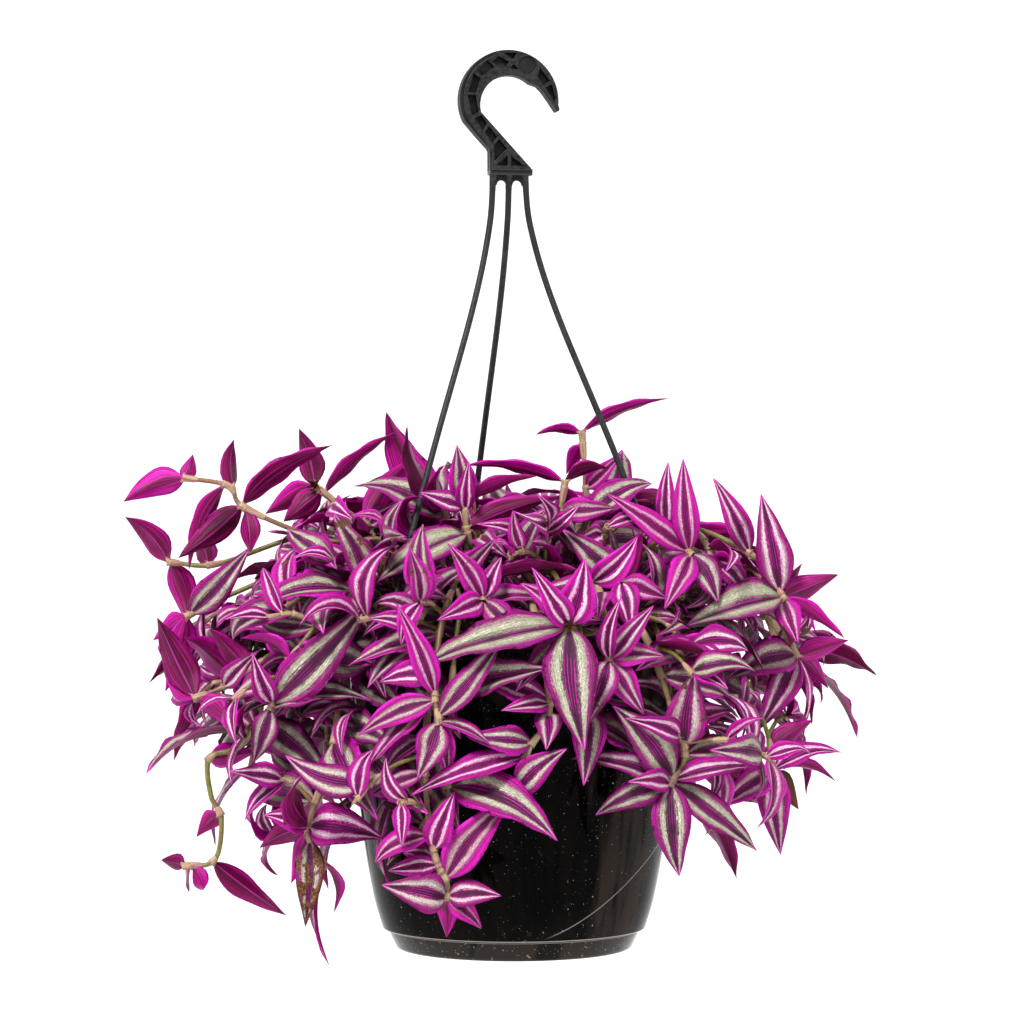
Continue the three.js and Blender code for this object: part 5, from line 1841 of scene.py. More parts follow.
@dataclass(frozen=True)
class Filling:
    """How the gaps between a stem's main leaves are filled: small leaves and short side shoots.

    shoot_leaves gives where each leaf of a shoot stands along it, and how far it turns from its line.
    """

    step: float = 7.0
    lengths: tuple[float, float] = (44.0, 66.0)
    widths: tuple[float, float] = (0.37, 0.52)
    tries: int = 15
    clear: float = 0.16
    shoot_step: float = 12.5
    shoot_lengths: tuple[float, float] = (14.0, 44.0)
    shoot_leaves: tuple[tuple[float, float], ...] = (
        (1.0, 0.1), (0.99, 1.2), (0.96, -1.2), (0.7, 1.1), (0.9, 2.4), (0.45, -1.1),
    )
    shoot_leaf_lengths: tuple[float, float] = (22.0, 46.0)

    def leaf(self, seed: int, index: int, attempt: int, base: Array, along: Array, turned: float,
             sizes: tuple[float, float]) -> Blade:
        """One leaf that may go into a gap.

        Args:
            seed, index, attempt: whole numbers that its chances depend on.
            base, along: where it leaves its stem, and the stem's direction there.
            turned: how far it turns from that direction.
            sizes: the least and the greatest length.
        Returns:
            The blade.
        """
        draw = [chance(seed, 64 * index + attempt, salt) for salt in range(50, 60)]
        out = np.array([base[0] - AXIS_X, base[1], 0.0])
        centred = min(1.0, float(np.linalg.norm(out)) / 70)
        out = unit(out + 0.01)
        side = unit(np.cross(along, out) + 1e-6)
        turn = turned + 0.9 * (draw[0] - 0.5)
        heading = along * math.cos(turn) + side * math.sin(turn) + out * (0.9 * draw[1] - 0.2)
        heading[2] += 0.75 * draw[2] - 0.3 + 0.35 * (1 - centred)
        length = between(sizes, draw[3]) * (1 - 0.033 * attempt)
        up = out * (0.25 + 0.75 * centred) + np.array([0, -0.15, 1.05 - 0.5 * centred])
        up = up + 0.8 * (np.array(draw[4:7]) - 0.5)
        blade = Blade(
            base, base + unit(heading) * length, unit(up), length * between(self.widths, draw[7]),
            ARCH * (0.6 + 2.1 * draw[8]), FOLD * (0.8 + 3.8 * draw[9] ** 2), 1.5 * (draw[5] - 0.5), 0.0,
        )
        blade.tone = draw[6] ** 0.8
        blade.age = min(1.0, max(0.0, (blade.width - 9) / 16 + 0.8 * (draw[2] - 0.3)))
        blade.dry = 0.42 * draw[4] ** 6
        blade.salt, blade.bow, blade.curl = draw[8], 0.2 * (draw[9] - 0.5), 0.24 * draw[5] - 0.05
        return blade

    def fits(self, room: Room, blade: Blade) -> bool:
        """Whether a blade has room, which it then takes."""
        if not room.free(blade.samples(self.clear)):
            return False
        room.take(blade.samples())
        return True

    def leaves(self, room: Room, plan: StemPlan, route: Route) -> list[Blade]:
        """The small leaves that find room along a stem.

        Args:
            room: the space that is left.
            plan: the stem's plan.
            route: the stem's route.
        Returns:
            The blades.
        """
        found = []
        length = route.length()
        for index in range(int(length / self.step)):
            share = (index + 0.5) * self.step / length
            base = route.at(share)
            if base[2] < SOIL_TOP + 8 and math.hypot(base[0] - AXIS_X, base[1]) < 88:
                continue
            along = route.tangent(share)
            for attempt in range(self.tries):
                turned = 1.0 if (index + attempt) % 2 else -1.0
                blade = self.leaf(plan.seed + 100, index, attempt, base, along, turned, self.lengths)
                if self.fits(room, blade):
                    blade.share = share
                    found.append(blade)
                    break
        return found

    def shoots(self, room: Room, plan: StemPlan, route: Route) -> list[tuple[Route, list[Blade]]]:
        """The side shoots that find room along a stem.

        Args:
            room: the space that is left.
            plan: the stem's plan.
            route: the stem's route.
        Returns:
            The route and the blades of each shoot.
        """
        found = []
        length = route.length()
        for index in range(int(length / self.shoot_step)):
            share = (index + 0.7) * self.shoot_step / length
            base = route.at(min(share, 0.97))
            if base[2] < SOIL_TOP + 5 and math.hypot(base[0] - AXIS_X, base[1]) < 88:
                continue
            for attempt in range(self.tries):
                made = self._shoot(room, plan.seed + 200, 16 * index + attempt, base, route.tangent(share))
                if made is not None:
                    found.append(made)
                    break
        return found

    def _shoot(self, room: Room, seed: int, index: int, base: Array,
               along: Array) -> tuple[Route, list[Blade]] | None:
        """Tries one side shoot.

        Args:
            room: the space that is left.
            seed, index: whole numbers that its chances depend on.
            base, along: where it leaves the stem, and the stem's direction there.
        Returns:
            The shoot's route and blades, or nothing if it finds no room for two leaves.
        """
        draw = [chance(seed, index, salt) for salt in range(70, 76)]
        out = np.array([base[0] - AXIS_X, base[1], 0.0])
        centred = min(1.0, float(np.linalg.norm(out)) / 80)
        out = unit(out + 0.01)
        side = unit(np.cross(along, out) + 1e-6)
        way = out * (0.9 * centred * draw[0]) + side * (2.2 * draw[1] - 1.1) + along * 0.35
        way = unit(way + np.array([0, 0, 1.1 * draw[2] - 0.25 * centred + 0.5 * (1 - centred)]))
        reach = between(self.shoot_lengths, draw[3])
        end = base + way * reach + np.array([0, 0, -0.22 * reach * centred])
        route = Route([base, base + way * 0.55 * reach, end])
        line = route.many(np.linspace(0.3, 1, 14))
        if not room.free(line):
            return None
        blades = []
        for number, (share, turned) in enumerate(self.shoot_leaves):
            for attempt in range(6):
                blade = self.leaf(seed + 300, 16 * index + number, attempt, route.at(share),
                                  route.tangent(share), turned, self.shoot_leaf_lengths)
                blade.share = share
                clear = [other.samples(0.3) for other in blades]
                if room.free(blade.samples(0.2)) and not self._meets(blade, clear):
                    blades.append(blade)
                    break
        if len(blades) < 2:
            return None
        for blade in blades:
            room.take(blade.samples())
        room.take_line(line, 0.8)
        return route, blades

    @staticmethod
    def _meets(blade: Blade, others: Sequence[Array]) -> bool:
        """Whether a blade comes too near to other blades of its shoot.

        Args:
            blade: the blade.
            others: points of the other blades.
        Returns:
            True if any gap is less than 2 mm.
        """
        own = blade.samples(0.3)
        return any(np.linalg.norm(own[:, None] - points[None], axis=2).min() < 2.0 for points in others)


@dataclass
class LeafyStem:
    """One leafy stem: its tube, the sheaths with their hairs, its leaves and its side shoots."""

    plan: StemPlan
    tube: Tube
    hairs: Hairs
    solid: bpy.types.Object
    thick: float = 1.55
    thin: float = 1.15
    sheath: float = 6.0
    match: float = 0.08

    def settle(self, room: Room) -> None:
        """Finds the route and the leaves that the CAD node has. Args: room: where they take their space."""
        known = np.array([v.co for v in self.solid.data.vertices]) / MM
        self.route = self._route(known)
        self.blades = self._blades(known, self.route)
        self.small: list[Blade] = []
        self.shoots: list[tuple[Route, list[Blade]]] = []
        room.take_line(self.route.many(np.linspace(0, 1, int(self.route.length()))), 1.3)
        for blade in self.blades:
            room.take(blade.samples())

    def complete(self, room: Room) -> None:
        """Adds the seen leaves that the solid leaves out but that find room. Args: room: the space left."""
        for index in self.missing:
            for attempt in range(TRIES):
                blade = self.plan.blade(self.route, index, attempt)
                if room.empty(blade.samples(0.2)):
                    room.take(blade.samples())
                    self.blades.append(blade)
                    break

    def fill(self, room: Room, filling: Filling) -> None:
        """Adds what finds room along the stem. Args: room: the space left. filling: the rule."""
        self.small = filling.leaves(room, self.plan, self.route)
        self.shoots = filling.shoots(room, self.plan, self.route)

    def build(self, room: Room) -> bpy.types.Object:
        """Makes the stem in the place that its CAD node has.

        Args:
            room: the space round the plant, for the shade.
        Returns:
            The finished piece.
        """
        heap = Heap()
        own = self.blades + self.small
        for blade in own + [blade for _, blades in self.shoots for blade in blades]:
            blade.add_to(heap)
        self._rod(heap, self.route, own, self.thick, self.thin)
        self._clasps(heap, self.route, own, self.thick, self.thin)
        for route, blades in self.shoots:
            self._rod(heap, route, blades, self.thin, 0.75)
            self._clasps(heap, route, blades, self.thin, 0.75)
        if self.plan.name in BROWN_HEARTS:
            self._brown_heart(heap)
        name = self.plan.name
        LOG.info("%s: %d of %d main leaves, %d small ones, %d side shoots", name, len(self.blades),
                 self.plan.count, len(self.small), len(self.shoots))
        return shown("leafy_" + name, heap.mesh(name, room), "foliage", "stem_" + name)

    def _brown_heart(self, heap: Heap) -> None:
        """Adds a few small dried leaves at the stem's end. Args: heap: the mesh's pieces."""
        end, along = self.route.at(1), self.route.tangent(0.99)
        for i in range(6):
            turn = TAU * i / 6 + 0.5
            out = np.array([math.cos(turn), -0.9, math.sin(turn)])
            tip = end + unit(out + 0.3 * along) * (4.5 + 3.5 * chance(self.plan.seed, i, 46))
            up = np.array([0, -1, 0.3]) + 0.2 * out
            Blade(end, tip, up, 3.4, 0.25, 0.9, 0.8, 1.0, 0.3, 0.5, 1.6).add_to(heap)

    def _route(self, known: Array) -> Route:
        """The attempt whose root stands where the solid's does.

        Args:
            known: the solid's points.
        Returns:
            The route of that attempt.
        """
        low = known[np.abs(known[:, 2] - SOIL_TOP + STEM_DEPTH) < 0.1]

        def miss(root: Array) -> float:
            """How far the solid's foot is from a root.

            Args:
                root: the root's place.
            Returns:
                The distance, infinite where no foot is near.
            """
            near = low[np.hypot(low[:, 0] - root[0], low[:, 1] - root[1]) < 3]
            if not len(near):
                return math.inf
            middle = np.unique(np.round(near, 2), axis=0).mean(axis=0)
            return math.hypot(middle[0] - root[0], middle[1] - root[1])

        return min(self.plan.routes(), key=lambda pair: miss(pair[0]))[1]

    def _blades(self, known: Array, route: Route) -> list[Blade]:
        """The blades that the solid has, each in its own pose.

        Args:
            known: the solid's points.
            route: the stem's route.
        Returns:
            The blades, without those that the solid leaves out.
        """
        tree = KDTree(len(known))
        for i, point in enumerate(known):
            tree.insert(point, i)
        tree.balance()
        found = []
        self.missing: list[int] = []
        for index in range(self.plan.count):
            poses = (self.plan.blade(route, index, attempt) for attempt in range(TRIES))
            blade = next((pose for pose in poses if tree.find(pose.tip)[2] < self.match), None)
            if blade is not None:
                found.append(blade)
            elif isinstance(self.plan, SeenPlan):
                self.missing.append(index)
        if isinstance(self.plan, SeenPlan):
            self.missing += range(self.plan.count, len(self.plan.rows))
        return found

    def _rod(self, heap: Heap, route: Route, blades: Sequence[Blade], thick: float, thin: float) -> None:
        """Adds a stem or a shoot, swollen a little where a leaf stands.

        Args:
            heap: the mesh's pieces.
            route: its route.
            blades: its leaves.
            thick, thin: its radius at the start and at the end.
        """
        steps = max(int(route.length() / 2.5), 5)
        shares = np.linspace(0, 1, steps + 1)
        points = route.many(shares)
        joints = np.zeros(steps + 1)
        for blade in blades:
            near = (shares - blade.share) * route.length() / 2.6
            joints = np.maximum(joints, np.exp(-near**2))
        thickness = thick + (thin - thick) * shares + 0.4 * joints
        thickness[-1] *= 0.5
        made = self.tube.along(points, thickness, along=route.length() * shares, joint=joints)
        count = len(made.vertices)
        where, far, joint = np.empty(count * 3), np.empty(count), np.empty(count)
        made.vertices.foreach_get("co", where)
        made.attributes["along"].data.foreach_get("value", far)
        made.attributes["joint"].data.foreach_get("value", joint)
        tone = np.full(count, chance(self.plan.seed, 0, 44))
        faces = [tuple(p.vertices) for p in made.polygons]
        heap.add(where.reshape(-1, 3) / MM, faces, Skin.STEM.value, np.stack([tone, far / 40, joint], axis=1))
        bpy.data.meshes.remove(made)

    def _clasps(self, heap: Heap, route: Route, blades: Sequence[Blade], thick: float, thin: float) -> None:
        """Adds the sheaths of leaves, which clasp the stem below them, and the hairs at their mouths.

        Args:
            heap: the mesh's pieces.
            route: the route of their stem.
            blades: the leaves.
            thick, thin: the stem's radius at the start and at the end.
        """
        mouths, leans = [], []
        sides, length = 8, route.length()
        for blade in blades:
            start = blade.share - self.sheath / length
            if start < 0.08:
                continue
            shares = np.array([start, start + 0.35 * (blade.share - start), blade.share, blade.share])
            lengthwise = route.tangent(min(blade.share, 0.999))
            lean = unit(blade.tip - blade.base)
            first = unit(lean - (lean @ lengthwise) * lengthwise + 1e-6)
            second = np.cross(lengthwise, first)
            turns = np.linspace(0, TAU, sides, endpoint=False)
            ring = first * np.cos(turns)[:, None] + second * np.sin(turns)[:, None]
            body = thick + (thin - thick) * blade.share
            centres = route.many(np.minimum(shares, 1.0))
            centres[-1] = centres[2] + lengthwise * 1.2
            rows = [centre + ring * (body + grown) for centre, grown in zip(centres, (0.12, 0.5, 0.75, 0.95))]
            rows[3] = rows[3] + lean * 0.9 * np.clip(np.cos(turns), 0, 1)[:, None]
            inner = [centres[3] + ring * (body + 0.6) + (rows[3] - centres[3] - ring * (body + 0.95)),
                     centres[2] - lengthwise * 1.5 + ring * (body + 0.2)]
            count = len(rows) + len(inner)
            growth = np.array([[blade.tone, k / 5, j / sides] for k in range(count) for j in range(sides)])
            faces = grid_faces(count, sides, closed=True)
            heap.add(np.concatenate(rows + inner), faces, Skin.SHEATH.value, growth)
            mouths.append(np.concatenate(rows[2:]))
            leans.append(np.tile(lengthwise * 1.6, (2 * sides, 1)))
        if mouths:
            self._hairs(heap, mouths, leans, sides)

    def _hairs(self, heap: Heap, mouths: Sequence[Array], leans: Sequence[Array], sides: int) -> None:
        """Adds the hairs of some sheaths.

        Args:
            heap: the mesh's pieces.
            mouths: two rings of points for each sheath.
            leans: the way that the hairs at each point lean.
            sides: points in a ring.
        """
        faces = []
        for number in range(len(mouths)):
            shift = number * 2 * sides
            faces += [tuple(i + shift for i in face) for face in grid_faces(2, sides, closed=True)]
        mesh = bpy.data.meshes.new("mouths")
        mesh.from_pydata(np.concatenate(mouths) * MM, [], faces)
        way = mesh.attributes.new("lean", "FLOAT_VECTOR", "POINT")
        way.data.foreach_set("vector", np.concatenate(leans).astype(np.float32).ravel())
        made = self.hairs.apply(mesh, Seed=self.plan.seed)
        if len(made.vertices):
            where = np.empty(len(made.vertices) * 3)
            made.vertices.foreach_get("co", where)
            strands = [tuple(p.vertices) for p in made.polygons]
            heap.add(where.reshape(-1, 3) / MM, strands, Skin.HAIR.value, np.array([0.5, 0, 0]))
        bpy.data.meshes.remove(made)


@dataclass
class Foliage:
    """All leafy stems, which share the room over and round the pot.

    view_clear is how far in front of a seen leaf the filling mostly stays away.
    """

    nodes: dict[str, bpy.types.Object]
    view_clear: float = 45.0

    def build(self) -> None:
        """Settles every stem, fills the gaps between them, and makes them."""
        tube, hairs, room = Tube(Finish.STEM, 8), Hairs(), Room()
        hanger = Hanger()
        for index in range(len(hanger.arm_turns)):
            room.take_line(np.repeat(hanger.arm_points(index), 4, axis=0), 2.4)
        stems = []
        for plan in stem_plans():
            solid = self.nodes.get("stem_" + plan.name)
            if solid is not None:
                stems.append(LeafyStem(plan, tube, hairs, solid))
                stems[-1].settle(room)
        for stem in stems:
            stem.complete(room)
            if isinstance(stem.plan, SeenPlan):
                for blade in stem.blades:
                    room.keep_before(blade.samples(), self.view_clear)
        for stem in stems:
            stem.fill(room, Filling())
        for stem in stems:
            stem.build(room)


# --- pot, saucer and soil -------------------------------------------------------------------


def rounded(section: Sequence[Point2], radii: Sequence[float], steps: int = 4) -> list[Point2]:
    """A section with its corners rounded.

    Args:
        section: its points as (radius, height).
        radii: how far from each corner the rounding starts.
        steps: how many points make each rounding.
    Returns:
        The rounded section.
    """
    points = [np.array(p, float) for p in section]
    made = [points[0]]
    for before, corner, after, size in zip(points, points[1:-1], points[2:], radii[1:-1]):
        into = corner + (before - corner) * min(0.45, size / np.linalg.norm(before - corner))
        out = corner + (after - corner) * min(0.45, size / np.linalg.norm(after - corner))
        for t in np.linspace(0, 1, steps + 1):
            made.append(into * (1 - t) ** 2 + corner * 2 * t * (1 - t) + out * t**2)
    made.append(points[-1])
    return [tuple(p) for p in made]


def lathe(name: str, section: Sequence[Point2], sides: int, finish: Finish) -> bpy.types.Mesh:
    """A section turned about the pot's axis, closed at both ends on the axis.

    Args:
        name: the mesh's name.
        section: points as (radius, height) in millimetres, from the axis, outside first.
        sides: steps round the axis.
        finish: the mesh's finish.
    Returns:
        The mesh, in metres.
    """
    turns = np.linspace(0, TAU, sides, endpoint=False)
    rows = [np.stack([AXIS_X + r * np.sin(turns), -r * np.cos(turns), np.full(sides, z)], axis=1)
            for r, z in section[1:-1]]
    ends = [[AXIS_X, 0, section[0][1]], [AXIS_X, 0, section[-1][1]]]
    points = np.concatenate([*rows, ends])
    count = len(rows)
    faces: list[tuple[int, ...]] = list(grid_faces(count, sides, closed=True))
    first, last = count * sides, count * sides + 1
    for j in range(sides):
        k = (j + 1) % sides
        faces.append((first, k, j))
        faces.append((last, (count - 1) * sides + j, (count - 1) * sides + k))
    made = bpy.data.meshes.new(name)
    made.from_pydata(points * MM, [], faces)
    made.polygons.foreach_set("use_smooth", [True] * len(faces))
    made.materials.append(finish.material())
    return made


def carve(mesh: bpy.types.Mesh, cutter: bpy.types.Mesh) -> bpy.types.Mesh:
    """Cuts one closed mesh out of another.

    Args:
        mesh: the mesh that is cut.
        cutter: the mesh that cuts it, which is used up.
    Returns:
        The result.
    """
    body = bpy.data.objects.new("body", mesh)
    tool = bpy.data.objects.new("tool", cutter)
    for made in (body, tool):
        bpy.context.scene.collection.objects.link(made)
    modifier = body.modifiers.new("cut", "BOOLEAN")
    modifier.operation, modifier.object, modifier.solver = "DIFFERENCE", tool, "EXACT"
    graph = bpy.context.evaluated_depsgraph_get()
    result = bpy.data.meshes.new_from_object(body.evaluated_get(graph), depsgraph=graph)
    for made in (body, tool):
        bpy.data.objects.remove(made)
    return result


@dataclass
class Pot:
    """Glossy pot: rolled rim, tapered wall, a skirt edge low down, a foot and drain holes."""

    sides: int = 128
    shrink: float = 0.996
    outside: tuple[Point2, ...] = (
        (0, -433), (55, -433), (58.5, -426), (65.8, -425.2), (70, -412), (75, -386), (80, -342),
        (84.5, -288.2), (87.2, -287.6), (87.2, -282.4), (86.6, -282),
    )
    inside: tuple[Point2, ...] = (
        (83, -282), (77.9, -342), (73, -386), (68, -411), (62, -423), (56, -426.6), (53, -430.8), (0, -430.8),
    )
    radii: tuple[float, ...] = (0, 1.5, 1, 0.8, 9, 14, 20, 0.8, 1, 1, 0.6, 1, 20, 14, 6, 4, 2, 1.5, 0)
    drains: int = 4
    drain_ring: float = 30
    drain_radius: float = 4

    def build(self) -> bpy.types.Object:
        """Makes the pot in place of its CAD node. Returns the piece."""
        section = [(r * self.shrink, z) for r, z in rounded([*self.outside, *self.inside], self.radii)]
        shell = lathe("pot", section, self.sides, Finish.POT)
        return shown("glossy_pot", carve(shell, self._cutters()), "pot", "pot")

    def _cutters(self) -> bpy.types.Mesh:
        """The bores of the drain holes.

        Returns:
            All bores as one mesh, in metres.
        """
        points, faces, steps = [], [], 24
        for i in range(self.drains):
            centre = around(self.drain_ring, TAU * i / self.drains, 0)
            start = len(points)
            for z in (-436.0, -428.0):
                for j in range(steps):
                    turn = TAU * j / steps
                    points.append((
                        centre[0] + self.drain_radius * math.cos(turn),
                        centre[1] + self.drain_radius * math.sin(turn), z,
                    ))
            low = list(range(start, start + steps))
            high = [k + steps for k in low]
            faces.append(tuple(reversed(low)))
            faces.append(tuple(high))
            for j in range(steps):
                k = (j + 1) % steps
                faces.append((low[j], low[k], high[k], high[j]))
        made = bpy.data.meshes.new("bores")
        made.from_pydata(np.array(points) * MM, [], faces)
        return made


@dataclass
class Saucer:
    """Smoky clear drip saucer clipped round the pot's foot."""

    sides: int = 128
    section: tuple[Point2, ...] = (
        (0, -435.3), (58.5, -435.3), (62.9, -425.75), (61.6, -425.65), (57.3, -433.3), (0, -433.3),
    )
    radii: tuple[float, ...] = (0, 2, 0.35, 0.3, 1.5, 0)

    def build(self) -> bpy.types.Object:
        """Makes the saucer in place of its CAD node. Returns the piece."""
        section = rounded(self.section, self.radii)
        return shown("drip_saucer", lathe("saucer", section, self.sides, Finish.SAUCER), "saucer", "saucer")


class Crumbs(Modifier):
    """Crumbs of soil strewn on a mesh's faces."""

    def __init__(self) -> None:
        """Builds the tree."""
        super().__init__("soil_crumbs", {
            "Material": ("Material", Finish.SOIL.material()),
            "Density": ("Float", 60000.0),
            "Smallest": ("Float", 0.45),
            "Largest": ("Float", 1.5),
            "Radius": ("Float", 1.1 * MM),
            "Level": ("Float", (SOIL_TOP - 3) * MM),
            "Seed": ("Int", 11),
        })
        given = self.given
        height = self.node("ShaderNodeSeparateXYZ", {0: self.node("GeometryNodeInputPosition").outputs[0]})
        top = self.node("FunctionNodeCompare", {
            0: height.outputs[2], 1: given["Level"]}, operation="GREATER_THAN")
        spread = self.node("GeometryNodeDistributePointsOnFaces", {
            "Mesh": given["Geometry"], "Selection": top.outputs[0],
            "Density": given["Density"], "Seed": given["Seed"]})
        lump = self.node("GeometryNodeMeshIcoSphere", {"Radius": given["Radius"], "Subdivisions": 2})
        rough = self.node("ShaderNodeTexNoise", {"Scale": 700.0, "Detail": 1.0})
        push = self.node("ShaderNodeVectorMath", {
            0: rough.outputs["Color"], 1: (0.5, 0.5, 0.5)}, operation="SUBTRACT")
        far = self.node("ShaderNodeVectorMath", {0: push.outputs[0], "Scale": 1.6 * MM}, operation="SCALE")
        shaped = self.node("GeometryNodeSetPosition", {0: lump.outputs[0], "Offset": far.outputs[0]})
        turn = self.node("FunctionNodeRandomValue", {
            0: (0, 0, 0), 1: (TAU, TAU, TAU), "Seed": given["Seed"]}, data_type="FLOAT_VECTOR")
        size = self.node("FunctionNodeRandomValue", {
            2: given["Smallest"], 3: given["Largest"], "Seed": given["Seed"]}, data_type="FLOAT")
        strewn = self.node("GeometryNodeInstanceOnPoints", {
            "Points": spread.outputs["Points"], "Instance": shaped.outputs[0],
            "Rotation": turn.outputs[0], "Scale": size.outputs[1]})
        whole = self.node("GeometryNodeJoinGeometry")
        self.tree.put(whole.inputs[0], given["Geometry"])
        self.tree.put(whole.inputs[0], strewn.outputs[0])
        self.finish(whole.outputs[0])


@dataclass
class Soil:
    """Potting soil with an uneven crumbly top."""

    rings: int = 26
    sides: int = 96
    edge: float = 81.7
    top: float = SOIL_TOP
    dome: float = 2.0
    below: tuple[Point2, ...] = (
        (77.5, -341.7), (72.6, -385.7), (67.6, -410.7), (61.6, -422.7), (55.6, -426.3), (52.6, -430.5),
        (0, -430.5),
    )

    def build(self) -> bpy.types.Object:
        """Makes the soil in place of its CAD node. Returns the piece."""
        top = [(self.edge * (i / self.rings), 0.0) for i in range(self.rings + 1)]
        section = [*top, *self.below]
        mesh = lathe("soil", list(reversed(section)), self.sides, Finish.SOIL)
        for vertex in mesh.vertices:
            x, y, z = np.array(vertex.co) / MM
            if z < -1:
                continue
            radius = math.hypot(x - AXIS_X, y)
            uneven = 0.9 * math.sin(0.21 * x + 1.3) * math.cos(0.17 * y) + 0.8 * math.sin(0.55 * x - 0.47 * y)
            domed = self.top + self.dome * (1 - (radius / self.edge) ** 2)
            vertex.co.z = (domed + uneven * min(1, (self.edge - radius) / 6)) * MM
        return shown("potting_soil", Crumbs().apply(mesh), "soil", "soil")


# --- hanger ---------------------------------------------------------------------------------


@dataclass
class Hanger:
    """One dark moulding: the ribbed hook, its base bar, three arms and the clips on the rim."""

    thick: float = 9.0
    web: float = 2.6
    bevel: float = 0.35
    turn: float = math.radians(12)
    inner: tuple[float, float, float] = (0.0, -15.25, 15.25)
    outer: tuple[float, float, float] = (-0.5, -12.5, 25.2)
    base: tuple[float, float, float, float] = (-10.5, 11.5, -46.5, -49.7)
    base_deep: float = 7.0
    measured: tuple[tuple[Point2, ...], ...] = (
        ((-17.9, 2.6), (-12.3, 7.6), (-8.2, 3.6), (-14.8, -0.9)),
        ((-19.9, 1.0), (-15.6, -2.0), (-17.6, -9.3), (-21.6, -8.9)),
        ((-22.0, -10.8), (-17.9, -10.4), (-16.4, -19.0), (-19.6, -20.6)),
        ((-18.2, -22.1), (-14.9, -20.4), (-12.2, -24.6), (-14.2, -28.2)),
        ((-13.2, -29.0), (-11.2, -25.8), (-6.9, -31.0), (-9.2, -34.0)),
        ((-5.9, -32.3), (-1.9, -36.8), (-8.2, -43.0), (-8.5, -35.2)),
        ((-7.4, -45.2), (-1.6, -40.4), (-1.6, -45.2)),
        ((0.2, -45.2), (0.2, -40.4), (6.6, -45.2)),
        ((-9.6, 6.4), (-6.4, 10.2), (-0.9, 6.6), (-2.6, 3.9), (-5.2, 3.4)),
        ((-3.8, 11.0), (3.2, 11.2), (1.2, 8.0)),
        ((-0.6, 3.3), (1.6, 5.4), (4.0, 2.9)),
        ((14.9, 4.0), (20.0, -2.4), (16.6, -4.6), (13.6, -0.4)),
        ((17.7, -5.9), (21.0, -4.3), (23.0, -11.0), (22.3, -12.6)),
    )
    arm_turns: tuple[float, ...] = (-46.0, 199.0, 77.0)
    arm_spread: tuple[Point2, ...] = ((0, 0), (0.12, 0.04), (0.3, 0.2), (0.62, 0.58), (1, 1))
    arm_top: float = -49.0
    arm_end: float = -278.6
    arm_reach: float = 86.5
    arm_spacing: float = 8.0
    arm_radius: float = 1.6
    clip_width: float = 9.0
    clip: tuple[Point2, ...] = (
        (89.6, -279.4), (89.6, -290.4), (85.4, -290.4), (85.4, -288.6), (87.6, -288.6), (87.6, -281.6),
        (82.2, -281.6), (82.2, -286), (80.4, -286), (80.4, -279.4),
    )

    def outline(self) -> list[Point2]:
        """The hook's outline in the plane of its plate, as the source has it.

        Returns:
            Points in X and Z.
        """
        start, end, top, _ = self.base
        points = [(start, top - 1), (start, -38), (-11.2, -36.6), (-16.5, -31)]
        points += self._arc(self.outer, math.pi * 1.14, -0.1, 48)
        points += [(25.3, -16.2), (25.0, -17.1), (24.2, -17.6), (23.4, -17.2)]
        points += [(19.6, -11.6), (16.6, -7.6), (14, -5)]
        points += self._arc(self.inner, 0.86, math.pi * 1.08, 36)
        points += [(end - 0.5, top - 0.5), (end - 0.5, top - 1)]
        return points

    def raised(self) -> list[Point2]:
        """The outline of the plate's thicker part, which leaves a lower rim down the left side.

        Returns:
            Points in X and Z.
        """
        points = [(self.base[0] + 1.0, self.base[2] - 0.8), (-9.5, -38.6), (-14.8, -31.4), (-20.6, -24.4)]
        points += self._arc((*self.outer[:2], self.outer[2] - 1.7), math.pi * 1.12, 1.95, 30)
        points += self._arc((*self.outer[:2], self.outer[2] - 0.2), 1.8, -0.08, 40)
        points += [(25.0, -16.2), (24.2, -17.1), (23.5, -16.8), (19.8, -11.3), (16.8, -7.3), (14.1, -4.6)]
        points += self._arc((*self.inner[:2], self.inner[2] + 0.3), 0.85, math.pi * 1.07, 36)
        return points + [(self.base[1] - 1.0, self.base[2] + 0.2), (self.base[1] - 1.0, self.base[2] - 0.8)]

    @staticmethod
    def _arc(circle: tuple[float, float, float], start: float, end: float, steps: int) -> list[Point2]:
        """Points on a circle (x, z, radius) from one angle to another."""
        x, z, radius = circle
        return [(x + radius * math.cos(a), z + radius * math.sin(a)) for a in np.linspace(start, end, steps)]

    def pockets(self) -> list[list[Point2]]:
        """The outlines of the pockets between the ribs, kept clear of the plate's edge.

        Returns:
            The points of each pocket, in X and Z.
        """
        kept = []
        for pocket in self.measured:
            moved = []
            for x, z in pocket:
                across, up = x - self.outer[0], z - self.outer[1]
                far, turn = math.hypot(across, up), math.atan2(up, across)
                most = self.outer[2] - (2.75 if turn > 1.75 or turn < -math.pi / 2 else 1.4)
                share = min(1.0, most / far) if z > -21 else 1.0
                moved.append((self.outer[0] + across * share, self.outer[1] + up * share))
            kept.append(moved)
        return kept

    def disc(self) -> list[Point2]:
        """The outline of the shallow round recess near the top of the hook."""
        return self._arc((8.4, 5.2, 4.4), TAU, TAU / 28, 28)

